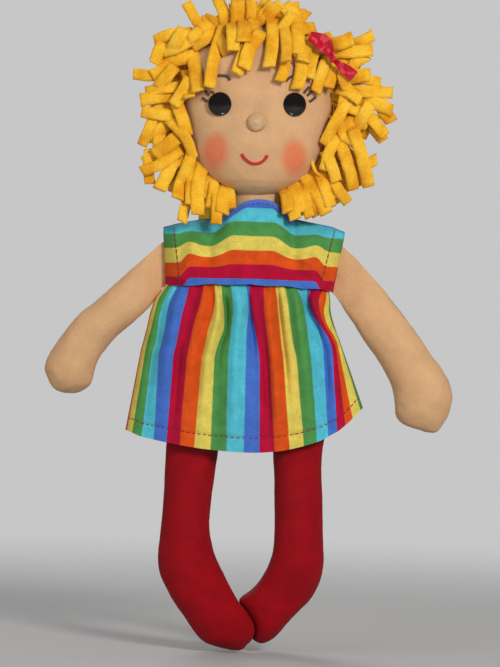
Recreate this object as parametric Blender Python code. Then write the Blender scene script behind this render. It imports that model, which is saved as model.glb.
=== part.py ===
"""A rag doll with stuffed limbs, fleece hair and a gathered dress, hung upright by its back.

Run it in Blender's text editor, or with blender --background --python part.py.
Metres, Z up, the face looks along -Y. The world origin is on the dress's back placket. Inside the
empty named doll the zero is in the middle of the doll at its waist.
"""

from math import cos, pi, radians, sin, tau

import bmesh
import bpy
from mathutils import Vector

# Clearances and cloth
GAP = 0.0003
SKIN = 0.0010
SLIT = 0.0002
DRESS_CLOTH = 0.0012
STRIP_CLOTH = 0.0016
CAP_CLOTH = 0.0010
SEAM_CLOTH = 0.0016
THREAD = 0.0009

# Torso, from the lower seam to the top of the neck stub
TORSO_BOTTOM = -0.0820
TORSO_HEIGHT = 0.1460
TORSO_WIDTH = 0.1080
TORSO_DEPTH = 0.0460
TORSO_SHARES = (
    # height, width, depth
    (0.000, 0.96, 0.035),
    (0.041, 0.985, 0.30),
    (0.110, 1.00, 0.62),
    (0.253, 1.00, 0.93),
    (0.459, 0.965, 1.00),
    (0.562, 0.955, 1.00),
    (0.699, 0.975, 1.00),
    (0.774, 1.00, 0.97),
    (0.815, 0.88, 0.80),
    (0.842, 0.60, 0.68),
    (0.870, 0.36, 0.60),
    (0.897, 0.29, 0.54),
    (0.952, 0.278, 0.50),
    (0.986, 0.25, 0.42),
    (1.000, 0.16, 0.28),
)
TORSO_RIB_SHARES = (
    # from the lower seam to the shoulders
    *(0, 0.04, 0.11, 0.25, 0.45, 0.66, 0.774),
    # shoulders and neck
    *(0.815, 0.842, 0.872, 0.897, 0.952, 0.986, 1),
)
SEAM_PINCH = 0.35

# Head
HEAD_BOTTOM = 0.0560
HEAD_HEIGHT = 0.1140
HEAD_WIDTH = 0.0974
HEAD_DEPTH = 0.0720
HEAD_MIDDLE_SHARE = 0.50
HEAD_SHARES = (
    # height, width, depth
    (0.000, 0.325, 0.362),
    (0.015, 0.45, 0.47),
    (0.060, 0.65, 0.67),
    (0.140, 0.80, 0.82),
    (0.270, 0.905, 0.91),
    (0.450, 0.99, 0.985),
    (0.580, 1.00, 1.00),
    (0.720, 0.945, 0.96),
    (0.840, 0.80, 0.83),
    (0.930, 0.57, 0.60),
    (0.980, 0.31, 0.33),
    (1.000, 0.10, 0.11),
)
HEAD_RIB_SHARES = (0, 0.015, 0.06, 0.14, 0.27, 0.42, 0.58, 0.72, 0.84, 0.93, 0.98, 1)
NECK_WELL_DEPTH = 0.0115
NOD_AXIS = 0.0570

# Limbs: each row holds the two edges of one rib as seen from the front, and its depth
ARM_ROOT_X = 0.0585
ARM_ROOT_Z = 0.0115
ARM_DEPTH = 0.0300
LEFT_ARM_REACH = 0.0753
LEFT_ARM_DROP = 0.0856
RIGHT_ARM_REACH = 0.0748
RIGHT_ARM_DROP = 0.1050
LEFT_ARM_SHARES = (
    # upper edge: reach, drop; lower edge: reach, drop; depth
    (0.000, -0.167, 0.000, 0.167, 0.053),
    (0.127, -0.065, 0.012, 0.213, 0.17),
    (0.254, 0.037, 0.095, 0.314, 0.57),
    (0.397, 0.154, 0.215, 0.438, 0.87),
    (0.564, 0.296, 0.367, 0.556, 1.00),
    (0.717, 0.405, 0.475, 0.666, 1.00),
    (0.884, 0.554, 0.541, 0.773, 1.03),
    (1.000, 0.732, 0.555, 0.850, 1.00),
    (0.985, 0.898, 0.587, 0.950, 0.77),
    (0.887, 1.002, 0.680, 0.998, 0.40),
)
RIGHT_ARM_SHARES = (
    (0.000, -0.138, 0.000, 0.138, 0.053),
    (0.183, -0.020, 0.016, 0.210, 0.17),
    (0.399, 0.149, 0.075, 0.305, 0.57),
    (0.600, 0.312, 0.179, 0.420, 0.90),
    (0.781, 0.507, 0.324, 0.566, 1.00),
    (0.929, 0.637, 0.419, 0.663, 1.03),
    (0.989, 0.744, 0.461, 0.749, 1.07),
    (0.997, 0.818, 0.492, 0.878, 1.03),
    (0.961, 0.911, 0.547, 0.945, 0.80),
    (0.861, 1.005, 0.745, 0.994, 0.36),
)
HIP_Z = -0.0845
LEG_LENGTH = 0.1555
LEG_REACH = 0.0569
LEG_DEPTH = 0.0340
LEFT_LEG_SHARES = (
    # drop, outer edge, inner edge, depth
    (0.000, 0.923, 0.343, 0.047),
    (0.026, 0.931, 0.334, 0.13),
    (0.058, 0.931, 0.325, 0.41),
    (0.103, 0.935, 0.322, 0.74),
    (0.167, 0.940, 0.322, 0.94),
    (0.322, 0.954, 0.360, 1.00),
    (0.482, 0.979, 0.390, 1.00),
    (0.617, 1.000, 0.366, 0.97),
    (0.682, 0.989, 0.262, 0.97),
    (0.763, 0.880, 0.116, 1.00),
    (0.823, 0.761, -0.025, 1.00),
    (0.890, 0.629, -0.105, 0.94),
    (0.939, 0.534, -0.105, 0.82),
    (0.977, 0.411, -0.050, 0.56),
    (1.000, 0.281, 0.035, 0.18),
)
RIGHT_LEG_SHARES = (
    (0.000, 0.905, 0.299, 0.047),
    (0.026, 0.905, 0.299, 0.13),
    (0.058, 0.896, 0.299, 0.41),
    (0.103, 0.888, 0.299, 0.74),
    (0.167, 0.882, 0.308, 0.94),
    (0.322, 0.895, 0.346, 1.00),
    (0.482, 0.930, 0.360, 1.00),
    (0.617, 0.942, 0.315, 0.97),
    (0.682, 0.923, 0.237, 0.97),
    (0.763, 0.844, 0.125, 1.00),
    (0.823, 0.721, 0.110, 1.00),
    (0.890, 0.536, 0.182, 0.80),
    (0.939, 0.413, 0.176, 0.56),
    (0.977, 0.290, 0.158, 0.18),
)
HINGE_CLEARANCE = 0.0011
ROOT_LIP = 0.0005
ROOT_LIP_SHARE = 0.6

# Dress
BODICE_EASE_X = 0.0030
BODICE_EASE_Y = 0.0011
BODICE_LIFT = 0.0012
BODICE_RIB_SHARES = (0.562, 0.66, 0.774, 0.815, 0.842, 0.872, 0.886)
ARMHOLE_SLOT = 0.0030
PLACKET_SPLIT = 0.0008
NECK_BINDING_SHARES = (0.898, 0.924)
NECK_BINDING_WALL = 0.0013
SKIRT_GAP = 0.0004
SKIRT_LENGTH = 0.1097
SKIRT_HEM_RISE = 0.0140
SKIRT_WIDTH = 0.1520
SKIRT_FRONT_DEPTH_SHARE = 0.587
SKIRT_BACK_DEPTH_SHARE = 0.739
SKIRT_SHARES = (
    # drop, width, depth of the front, depth of the back
    (0.00, 0.718, 0.893, 0.709),
    (0.10, 0.765, 0.95, 0.80),
    (0.30, 0.810, 0.98, 0.88),
    (0.60, 0.890, 1.00, 0.95),
    (1.00, 1.000, 1.00, 1.00),
)
FOLDS = 7
FOLD_HEIGHT = 0.0026
HEM_DEPTH = 0.0100
TAPE_WIDTH = 0.0140
TAPE_HEIGHT = 0.0280
TAPE_MIDDLE = 0.0170
LOOP_TAPE = 0.0008
HOOK_TAPE = 0.0008
PLACKET = 0.0010

# Face
EYE_DIAMETER = 0.0150
EYE_SPREAD = 0.0488
EYE_SHARE = 0.5289474
EYE_Z = HEAD_BOTTOM + HEAD_HEIGHT * EYE_SHARE
EYE_DOME = 0.0046
NOSE_DIAMETER = 0.0125
NOSE_SHARE = 0.4280702
NOSE_Z = HEAD_BOTTOM + HEAD_HEIGHT * NOSE_SHARE
NOSE_DOME = 0.0052
BUTTON_RIM = 0.0010
SHANK_DIAMETER = 0.0040
SHANK_LENGTH = 0.0060
SHANK_CLEARANCE = 0.0004
MOUTH_WIDTH = 0.0170
MOUTH_SAG = 0.0056
MOUTH_SHARE = 0.2403509
MOUTH_Z = HEAD_BOTTOM + HEAD_HEIGHT * MOUTH_SHARE
MOUTH_THICKNESS = 0.0018
BROW_LENGTH = 0.0110
BROW_RISE = 0.0026
BROW_SPREAD = 0.0455
BROW_SHARE = 0.6798246
BROW_Z = HEAD_BOTTOM + HEAD_HEIGHT * BROW_SHARE
BROW_THICKNESS = 0.0014

# Hair
STRIP_WIDTH = 0.0072
STRIP_LENGTH = 0.0300
STRIP_BAND = 0.0045
STRIP_SAG = 0.0070
STRIP_LENGTH_SHARES = (1.0, 0.8, 0.95, 0.72, 1.05, 0.86)
STRIP_FILL_SHARE = 0.72
ROW_LIFT = 0.0023
TIER_LIFT = 0.0026
FRINGE_LIFT = 0.0014
TUFT_LIFT = 0.0007
RING_ROWS = (
    # name, degrees from straight ahead, tilt backwards, first and last degrees round the face
    ("hair_row_front", 77, -0.40, -62, 242),
    ("hair_row_middle", 90, -0.05, -34, 214),
    ("hair_row_crown", 103, 0.28, -34, 214),
)
BACK_TIER_TOP_SHARE = 0.877
BACK_TIER_STEP = 0.0205
BACK_TIERS = 4
BACK_TIER_REACH_SHARES = (0.62, 0.84, 0.92, 0.90)
BACK_FLARE = 0.0090
BACK_STRIP_LENGTH = 0.0340
FRINGE_WIDTH = 0.0660
FRINGE_TOP_SHARE = 0.868
FRINGE_DROP = 0.0090
FRINGE_TO_EYE = 0.006152
FRINGE_FLARE = 0.0035
TUFT_LENGTH = 0.0300
TUFT_DEGREES = (72, 121)
TUFT_STRIPS = 3
TUFT_POLAR_DEGREES = 62
TUFT_TILT = -0.35
RIBBON_WIDTH = 0.0085
RIBBON_CLOTH = 0.0006
BOW_DEGREES = 34
BOW_OUT = 0.0100
BOW_LOOP_WAY = (-0.62, -0.36, 0.70)
BOW_TAIL_WAY = (0.76, -0.25, -0.60)
BOW_LOOP_LENGTH = 0.0150
BOW_LOOP_HEIGHT = 0.0060
BOW_TAIL_LENGTH = 0.0160
BOW_OPENING = 0.06
KNOT_SIZE = 0.0070
KNOT_DEPTH = 0.0060
KNOT_END_SHARE = 0.6

# How finely round shapes are cut
LIMB_SIDES = 14
TORSO_SIDES = 18
HEAD_SIDES = 20
BUTTON_SIDES = 16
PANEL_COLUMNS = 12
SKIRT_COLUMNS = 22
SKIRT_ROWS = 5
CAP_FIRST_RIB = 3
SEAM_STEPS = 3
BOW_STEPS = 10
HALVINGS = 26

LEFT = -1
RIGHT = 1
FRONT = -1
BACK = 1

FLESH = (0.78, 0.56, 0.38)
RED = (0.42, 0.01, 0.03)
GOLD = (0.85, 0.52, 0.06)
CRIMSON = (0.62, 0.03, 0.12)
BLUE = (0.13, 0.28, 0.60)
RAINBOW = (0.80, 0.45, 0.20)
FIBRE = (0.90, 0.89, 0.86)
BLACK = (0.02, 0.015, 0.012)
BROWN = (0.16, 0.07, 0.03)
WHITE = (0.85, 0.85, 0.83)


def clear_scene():
    for obj in list(bpy.data.objects):
        bpy.data.objects.remove(obj, do_unlink=True)


def material(name, colour, roughness):
    made = bpy.data.materials.get(name) or bpy.data.materials.new(name)
    made.use_nodes = True
    shader = made.node_tree.nodes["Principled BSDF"]
    shader.inputs["Base Color"].default_value = (*colour, 1)
    shader.inputs["Roughness"].default_value = roughness
    shader.inputs["Metallic"].default_value = 0
    return made


def add_object(name, mesh, finish, parent):
    made = bpy.data.objects.new(name, mesh)
    bpy.context.scene.collection.objects.link(made)
    mesh.materials.append(finish)
    mesh.shade_smooth()
    made.parent = parent
    return made


def add_empty(name, place, parent=None):
    made = bpy.data.objects.new(name, None)
    bpy.context.scene.collection.objects.link(made)
    made.location = place
    made.parent = parent
    return made


def smooth_value(rows, column, at):
    """One column of a table of rows, read at a share on a smooth curve that never overshoots."""
    if at <= rows[0][0]:
        return rows[0][column]
    if at >= rows[-1][0]:
        return rows[-1][column]
    steps = [(b[0] - a[0], b[column] - a[column]) for a, b in zip(rows, rows[1:])]
    rates = [rise / run for run, rise in steps]
    slopes = [rates[0]]
    for before, after in zip(rates, rates[1:]):
        slopes.append(0 if before * after <= 0 else 2 * before * after / (before + after))
    slopes.append(rates[-1])
    index = max(i for i, row in enumerate(rows) if row[0] <= at)
    index = min(index, len(steps) - 1)
    run, rise = steps[index]
    t = (at - rows[index][0]) / run
    start, end = rows[index][column], rows[index][column] + rise
    leave, arrive = slopes[index] * run, slopes[index + 1] * run
    rest = 1 - t
    from_start = start * (1 + 2 * t) * rest**2 + leave * t * rest**2
    return from_start + end * t**2 * (3 - 2 * t) - arrive * t**2 * rest


def ring(middle, across, through, sides, pinch=0):
    """Points round one rib; pinch draws its two ends in towards a seam."""
    points = []
    for i in range(sides):
        angle = tau * i / sides
        side = sin(angle) * abs(sin(angle)) ** pinch
        points.append(middle + across * cos(angle) + through * side)
    return points


def loft(name, rings, finish, parent):
    """One closed body through the rings, with a flat cap on the first and the last."""
    mesh = bpy.data.meshes.new(name)
    shape = bmesh.new()
    loops = [[shape.verts.new(point) for point in points] for points in rings]
    for first, second in zip(loops, loops[1:]):
        for i in range(len(first)):
            j = (i + 1) % len(first)
            shape.faces.new((first[i], first[j], second[j]))
            shape.faces.new((first[i], second[j], second[i]))
    shape.faces.new(loops[0])
    shape.faces.new(loops[-1])
    bmesh.ops.recalc_face_normals(shape, faces=shape.faces)
    shape.to_mesh(mesh)
    shape.free()
    return add_object(name, mesh, finish, parent)


def sheet(name, rows, thickness, finish, parent):
    """A sheet of cloth through rows of points, given its thickness on both sides."""
    mesh = bpy.data.meshes.new(name)
    shape = bmesh.new()
    lines = [[shape.verts.new(point) for point in row] for row in rows]
    for first, second in zip(lines, lines[1:]):
        for i in range(len(first) - 1):
            shape.faces.new((first[i], first[i + 1], second[i + 1], second[i]))
    shape.to_mesh(mesh)
    shape.free()
    made = add_object(name, mesh, finish, parent)
    thicken(made, thickness)
    return made


def thicken(obj, thickness):
    wall = obj.modifiers.new("Cloth", "SOLIDIFY")
    wall.thickness = thickness
    wall.offset = 0
    wall.use_even_offset = False


def thread(name, points, thickness, finish, parent):
    curve = bpy.data.curves.new(name, "CURVE")
    curve.dimensions = "3D"
    curve.bevel_depth = thickness / 2
    curve.bevel_resolution = 0
    curve.use_fill_caps = True
    line = curve.splines.new("POLY")
    line.points.add(len(points) - 1)
    for slot, point in zip(line.points, points):
        slot.co = (*point, 1)
    curve.materials.append(finish)
    made = bpy.data.objects.new(name, curve)
    bpy.context.scene.collection.objects.link(made)
    made.parent = parent
    return made


def turned(name, profile, finish, parent):
    """A round piece turned about its own Z from (radius, height) pairs that start and end on it."""
    rings = []
    for radius, height in profile:
        across, through = Vector((radius, 0, 0)), Vector((0, radius, 0))
        rings.append(ring(Vector((0, 0, height)), across, through, BUTTON_SIDES))
    return loft(name, rings, finish, parent)


def cut(obj, cutter):
    hole = obj.modifiers.new("Hole", "BOOLEAN")
    hole.operation = "DIFFERENCE"
    hole.solver = "EXACT"
    hole.object = cutter


def hide_cutter(obj):
    obj.hide_render = True
    obj.display_type = "WIRE"


def torso_ring(share, wider, deeper, lift, sides=TORSO_SIDES):
    half_width = TORSO_WIDTH / 2 * smooth_value(TORSO_SHARES, 1, share) + wider
    half_depth = TORSO_DEPTH / 2 * smooth_value(TORSO_SHARES, 2, share) + deeper
    middle = Vector((0, 0, TORSO_BOTTOM + TORSO_HEIGHT * share + lift))
    return ring(middle, Vector((half_width, 0, 0)), Vector((0, half_depth, 0)), sides, SEAM_PINCH)


def torso_point(share, angle, wider, deeper, lift):
    half_width = TORSO_WIDTH / 2 * smooth_value(TORSO_SHARES, 1, share) + wider
    half_depth = TORSO_DEPTH / 2 * smooth_value(TORSO_SHARES, 2, share) + deeper
    side = sin(angle) * abs(sin(angle)) ** SEAM_PINCH
    height = TORSO_BOTTOM + TORSO_HEIGHT * share + lift
    return Vector((half_width * cos(angle), half_depth * side, height))


def torso_is_deep(share, inset):
    return TORSO_DEPTH / 2 * smooth_value(TORSO_SHARES, 2, share) > 2 * inset


def build_torso(finishes, parent):
    outer = [torso_ring(share, 0, 0, 0) for share in TORSO_RIB_SHARES]
    deep = [share for share in TORSO_RIB_SHARES if torso_is_deep(share, SKIN)]
    inner = [torso_ring(share, -SKIN, -SKIN, 0) for share in reversed(deep)]
    loft("torso_skin", outer + inner, finishes["flesh"], parent)
    inset = SKIN + GAP
    packed = [share for share in TORSO_RIB_SHARES[:-1] if torso_is_deep(share, inset)]
    rings = [torso_ring(share, -inset, -inset, 0) for share in packed]
    rings[0] = [point + Vector((0, 0, inset)) for point in rings[0]]
    loft("torso_filling", list(reversed(rings)), finishes["fibre"], parent)


def head_section(share, inset):
    half_width = HEAD_WIDTH / 2 * smooth_value(HEAD_SHARES, 1, share) - inset
    half_depth = HEAD_DEPTH / 2 * smooth_value(HEAD_SHARES, 2, share) - inset
    return half_width, half_depth


def head_ring(share, inset, lift=0.0):
    half_width, half_depth = head_section(share, inset)
    middle = Vector((0, 0, HEAD_BOTTOM + HEAD_HEIGHT * share + lift))
    across, through = Vector((half_width, 0, 0)), Vector((0, half_depth, 0))
    return ring(middle, across, through, HEAD_SIDES)


def squeezed_head_ring(share, inset):
    """A head ring moved in by inset, also up from the bottom and down from the top."""
    low = HEAD_BOTTOM + inset
    high = HEAD_BOTTOM + HEAD_HEIGHT - inset
    height = HEAD_BOTTOM + HEAD_HEIGHT * share
    kept = min(max(height, low), high)
    return head_ring(share, inset, kept - height)


def build_head(finishes, parent):
    outer = [head_ring(share, 0) for share in HEAD_RIB_SHARES]
    inner_shares = HEAD_RIB_SHARES[1:-1]
    inner = [squeezed_head_ring(share, SKIN) for share in reversed(inner_shares)]
    rim = head_ring(0, 0, SKIN)
    skin = loft("head_skin", inner + [rim] + outer, finishes["flesh"], parent)
    inset = SKIN + GAP
    well = [head_ring(0, GAP, NECK_WELL_DEPTH), head_ring(0, 0, inset)]
    packed = [squeezed_head_ring(share, inset) for share in inner_shares]
    filling = loft("head_filling", list(reversed(well + packed)), finishes["fibre"], parent)
    return skin, filling


def open_between(obj, sides):
    """Replaces the two end caps of a loft by a rim between its first and last ring."""
    shape = bmesh.new()
    shape.from_mesh(obj.data)
    caps = [face for face in shape.faces if len(face.verts) == sides]
    bmesh.ops.delete(shape, geom=caps, context="FACES_ONLY")
    edges = [edge for edge in shape.edges if edge.is_boundary]
    bmesh.ops.bridge_loops(shape, edges=edges)
    bmesh.ops.recalc_face_normals(shape, faces=shape.faces)
    shape.to_mesh(obj.data)
    shape.free()


def head_direction(polar, azimuth):
    """polar is the angle from straight ahead, azimuth goes round the face from its right side."""
    return Vector((cos(azimuth) * sin(polar), -cos(polar), sin(azimuth) * sin(polar)))


def in_head(point):
    share = (point.z - HEAD_BOTTOM) / HEAD_HEIGHT
    if share < 0 or share > 1:
        return False
    half_width, half_depth = head_section(share, 0)
    return (point.x / half_width) ** 2 + (point.y / half_depth) ** 2 < 1


def head_point(polar, azimuth, lift):
    """The point on the head that a ray from its middle meets, moved out along the ray by lift."""
    middle = Vector((0, 0, HEAD_BOTTOM + HEAD_HEIGHT * HEAD_MIDDLE_SHARE))
    direction = head_direction(polar, azimuth)
    near, far = 0.0, HEAD_HEIGHT
    for _ in range(HALVINGS):
        half = (near + far) / 2
        near, far = (half, far) if in_head(middle + direction * half) else (near, half)
    return middle + direction * (near + lift)


def head_face_point(x, z, side, lift):
    """The point on the front or the back of the head at x and z, moved off it by lift."""
    share = (z - HEAD_BOTTOM) / HEAD_HEIGHT
    half_width, half_depth = head_section(share, 0)
    inside = max(1 - (x / half_width) ** 2, 0)
    y = side * half_depth * inside**0.5
    normal = Vector((x / half_width**2, y / half_depth**2, 0)).normalized()
    return Vector((x, y, z)) + normal * lift, normal


def limb_rib(upper, lower, half_depth, sides=LIMB_SIDES):
    middle = (upper + lower) / 2
    return middle, (upper - lower) / 2, Vector((0, half_depth, 0)), sides


def shrunk(rib, inset):
    middle, across, through, sides = rib
    width = max(across.length - inset, SLIT)
    depth = max(through.length - inset, SLIT)
    return middle, across.normalized() * width, through.normalized() * depth, sides


def limb(name, ribs, cloth, fibre, parent):
    """A casing that is open at its flat sewn root, and the filling inside it."""
    outer = [ring(*rib) for rib in ribs]
    end, before = ribs[-1][0], ribs[-2][0]
    back = (before - end).normalized()
    inner_ribs = [shrunk(rib, SKIN) for rib in ribs]
    inner_ribs[-1] = moved(inner_ribs[-1], back * SKIN)
    inner = [ring(*rib) for rib in inner_ribs]
    loft(name + "_skin", list(reversed(inner)) + outer, cloth, parent)
    inset = SKIN + GAP
    deep = [rib for rib in ribs if rib[2].length > 2 * inset]
    packed = [shrunk(rib, inset) for rib in deep]
    packed[-1] = moved(packed[-1], back * inset)
    rings = [ring(*rib) for rib in reversed(packed)]
    loft(name + "_filling", rings, fibre, parent)


def moved(rib, step):
    return rib[0] + step, rib[1], rib[2], rib[3]


def arm_ribs(rows, reach, drop, side):
    ribs = []
    for upper_out, upper_down, lower_out, lower_down, depth in rows:
        upper = Vector((side * reach * upper_out, 0, -drop * upper_down))
        lower = Vector((side * reach * lower_out, 0, -drop * lower_down))
        ribs.append(limb_rib(upper, lower, ARM_DEPTH / 2 * depth))
    lip = moved(ribs[0], Vector((-side * ROOT_LIP, 0, 0)))
    return [(lip[0], lip[1], lip[2] * ROOT_LIP_SHARE, lip[3])] + ribs


def leg_ribs(rows, side, root):
    ribs = []
    for down, outer, inner, depth in rows:
        height = -LEG_LENGTH * down
        far = Vector((side * LEG_REACH * outer - root.x, 0, height))
        near = Vector((side * LEG_REACH * inner - root.x, 0, height))
        ribs.append(limb_rib(far, near, LEG_DEPTH / 2 * depth))
    lip = moved(ribs[0], Vector((0, 0, ROOT_LIP)))
    return [(lip[0], lip[1], lip[2] * ROOT_LIP_SHARE, lip[3])] + ribs


def torso_side(height):
    share = (height - TORSO_BOTTOM) / TORSO_HEIGHT
    return TORSO_WIDTH / 2 * smooth_value(TORSO_SHARES, 1, share)


def build_arm(side, finishes, doll):
    name, rows, reach, drop = (
        ("arm_left", LEFT_ARM_SHARES, LEFT_ARM_REACH, LEFT_ARM_DROP)
        if side == LEFT
        else ("arm_right", RIGHT_ARM_SHARES, RIGHT_ARM_REACH, RIGHT_ARM_DROP)
    )
    pivot = add_empty(name, Vector((side * ARM_ROOT_X, 0, ARM_ROOT_Z)), doll)
    limb(name, arm_ribs(rows, reach, drop, side), finishes["flesh"], finishes["fibre"], pivot)
    half = -drop * rows[0][1]
    bottom, top = max(ARM_ROOT_Z - half, skirt_top() + GAP), ARM_ROOT_Z + half
    corners = []
    for i in range(SEAM_STEPS + 1):
        height = bottom + (top - bottom) * i / SEAM_STEPS
        near = side * (torso_side(height) + 2 * GAP)
        far = side * (ARM_ROOT_X - HINGE_CLEARANCE)
        corners.append([Vector((near, 0, height)), Vector((far, 0, height))])
    sheet(name + "_seam", corners, SEAM_CLOTH, finishes["flesh"], doll)


def build_leg(side, finishes, doll):
    name, rows = ("leg_left", LEFT_LEG_SHARES) if side == LEFT else ("leg_right", RIGHT_LEG_SHARES)
    outer, inner = rows[0][1] * LEG_REACH, rows[0][2] * LEG_REACH
    root = Vector((side * (outer + inner) / 2, 0, HIP_Z))
    pivot = add_empty(name, root, doll)
    limb(name, leg_ribs(rows, side, root), finishes["red"], finishes["fibre"], pivot)
    top, bottom = TORSO_BOTTOM - GAP, HIP_Z + HINGE_CLEARANCE
    corners = [[Vector((side * x, 0, z)) for x in (outer, inner)] for z in (top, bottom)]
    sheet(name + "_seam", corners, SEAM_CLOTH, finishes["red"], doll)


def bodice_point(share, angle, lift):
    return torso_point(share, angle, BODICE_EASE_X + lift, BODICE_EASE_Y + lift, BODICE_LIFT)


def angle_at_depth(share, depth):
    """The angle at which the bodice's surface is this far in front of or behind the side seam."""
    half_depth = TORSO_DEPTH / 2 * smooth_value(TORSO_SHARES, 2, share) + BODICE_EASE_Y
    low, high = 0.0, pi / 2
    for _ in range(HALVINGS):
        half = (low + high) / 2
        side = half_depth * sin(half) ** (1 + SEAM_PINCH)
        low, high = (half, high) if side < depth else (low, half)
    return low


def bodice_panel(name, starts, ends, columns, finishes, doll):
    """A panel between two seams; starts and ends give each row's angle there."""
    rows = []
    for share in BODICE_RIB_SHARES:
        first, last = starts(share), ends(share)
        steps = [first + (last - first) * i / columns for i in range(columns + 1)]
        rows.append([bodice_point(share, angle, 0) for angle in steps])
    sheet(name, rows, DRESS_CLOTH, finishes["rainbow"], doll)


def split_angle(share):
    half_width = TORSO_WIDTH / 2 * smooth_value(TORSO_SHARES, 1, share) + BODICE_EASE_X
    return PLACKET_SPLIT / 2 / half_width


def build_bodice(finishes, doll):
    def slot(share):
        return angle_at_depth(share, (ARMHOLE_SLOT + DRESS_CLOTH) / 2)

    bodice_panel(
        "bodice_front", lambda s: pi + slot(s), lambda s: tau - slot(s), PANEL_COLUMNS, finishes, doll
    )
    half = PANEL_COLUMNS // 2
    bodice_panel(
        "bodice_back_right", slot, lambda s: pi / 2 - split_angle(s), half, finishes, doll
    )
    bodice_panel(
        "bodice_back_left", lambda s: pi / 2 + split_angle(s), lambda s: pi - slot(s), half, finishes, doll
    )
    build_neck_binding(finishes, doll)
    build_placket(finishes, doll)


def build_neck_binding(finishes, doll):
    low, high = NECK_BINDING_SHARES
    wall = NECK_BINDING_WALL
    clear = GAP + SKIN
    rings = [
        torso_ring(low, clear, clear, 0),
        torso_ring(low, clear + wall, clear + wall, 0),
        torso_ring(high, clear + wall, clear + wall, 0),
        torso_ring(high, clear, clear, 0),
    ]
    band = loft("neck_binding", rings, finishes["blue"], doll)
    open_between(band, TORSO_SIDES)


def box(name, low, high, finish, parent):
    rings = []
    for y in (low.y, high.y):
        corners = ((low.x, low.z), (high.x, low.z), (high.x, high.z), (low.x, high.z))
        rings.append([Vector((x, y, z)) for x, z in corners])
    return loft(name, rings, finish, parent)


def placket_layers():
    """The back fastener's layers from the bodice out: name, start and end along Y."""
    start = TORSO_DEPTH / 2 + BODICE_EASE_Y + DRESS_CLOTH / 2 + GAP
    layers = []
    for name, thickness in (
        ("closure_loop_tape", LOOP_TAPE),
        ("closure_hook_tape", HOOK_TAPE),
        ("back_placket", PLACKET),
    ):
        layers.append((name, start, start + thickness))
        start += thickness + GAP
    return layers


def build_placket(finishes, doll):
    for name, start, end in placket_layers():
        low = Vector((-TAPE_WIDTH / 2, start, TAPE_MIDDLE - TAPE_HEIGHT / 2))
        high = Vector((TAPE_WIDTH / 2, end, TAPE_MIDDLE + TAPE_HEIGHT / 2))
        finish = "rainbow" if name == "back_placket" else "white"
        box(name, low, high, finishes[finish], doll)


def skirt_top():
    """The skirt hangs just below the bodice's lower edge."""
    return TORSO_BOTTOM + TORSO_HEIGHT * BODICE_RIB_SHARES[0] + BODICE_LIFT - SKIRT_GAP


def skirt_point(across, down, side, lift):
    """A point of the skirt; across runs from -1 to 1 between the side seams, down from 0 to 1."""
    column = 2 if side == FRONT else 3
    depth = TORSO_DEPTH * (SKIRT_FRONT_DEPTH_SHARE if side == FRONT else SKIRT_BACK_DEPTH_SHARE)
    half_width = SKIRT_WIDTH / 2 * smooth_value(SKIRT_SHARES, 1, down) + lift
    half_depth = depth * smooth_value(SKIRT_SHARES, column, down) + lift
    angle = pi / 2 * across
    fold = FOLD_HEIGHT * down * cos(angle) * cos(pi * FOLDS * across)
    x = half_width * sin(angle)
    seam = (GAP + lift) / 2 if abs(across) == 1 else 0
    y = side * max(half_depth * cos(angle) + fold, seam)
    rise = SKIRT_HEM_RISE * sin(angle) ** 2
    return Vector((x, y, skirt_top() - (SKIRT_LENGTH - rise) * down))


def build_skirt(finishes, doll):
    for name, side in (("skirt_front", FRONT), ("skirt_back", BACK)):
        rows = []
        for row in range(SKIRT_ROWS + 1):
            down = row / SKIRT_ROWS
            steps = [2 * i / SKIRT_COLUMNS - 1 for i in range(SKIRT_COLUMNS + 1)]
            rows.append([skirt_point(across, down, side, 0) for across in steps])
        sheet(name, rows, DRESS_CLOTH, finishes["rainbow"], doll)


def build_hem_stitching(finishes, doll):
    down = 1 - HEM_DEPTH / SKIRT_LENGTH
    lift = DRESS_CLOTH / 2 + GAP + THREAD
    count = SKIRT_COLUMNS
    for name, side in (("hem_stitching_front", FRONT), ("hem_stitching_back", BACK)):
        steps = [2 * i / count - 1 for i in range(1, count)]
        points = [skirt_point(across, down, side, lift) for across in steps]
        thread(name, points, THREAD, finishes["crimson"], doll)


def build_button(name, x, z, diameter, dome, finish, head, cutters):
    """A domed button on its shank, square to the face, with the hole that the shank needs."""
    radius = diameter / 2
    place, normal = head_face_point(x, z, FRONT, 2 * GAP)
    shank = SHANK_DIAMETER / 2
    profile = [(shank, -SHANK_LENGTH), (shank, 0), (radius - BUTTON_RIM, 0), (radius, BUTTON_RIM)]
    for i in range(1, 5):
        angle = pi / 2 * i / 5
        profile.append((radius * cos(angle), BUTTON_RIM + (dome - BUTTON_RIM) * sin(angle)))
    button = turned(name, profile, finish, head)
    aim(button, place, normal)
    hole = SHANK_DIAMETER / 2 + SHANK_CLEARANCE
    depth = SHANK_LENGTH + SHANK_CLEARANCE
    cutter = turned(name + "_hole", [(hole, -depth), (hole, SHANK_LENGTH)], finish, head)
    aim(cutter, place, normal)
    hide_cutter(cutter)
    cutters.append(cutter)


def aim(obj, place, normal):
    obj.rotation_mode = "QUATERNION"
    obj.rotation_quaternion = normal.to_track_quat("Z", "Y")
    obj.location = place


def face_line(name, points, thickness, finish, head):
    lift = thickness / 2 + GAP
    placed = [head_face_point(x, z, FRONT, lift)[0] for x, z in points]
    thread(name, placed, thickness, finish, head)


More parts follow.
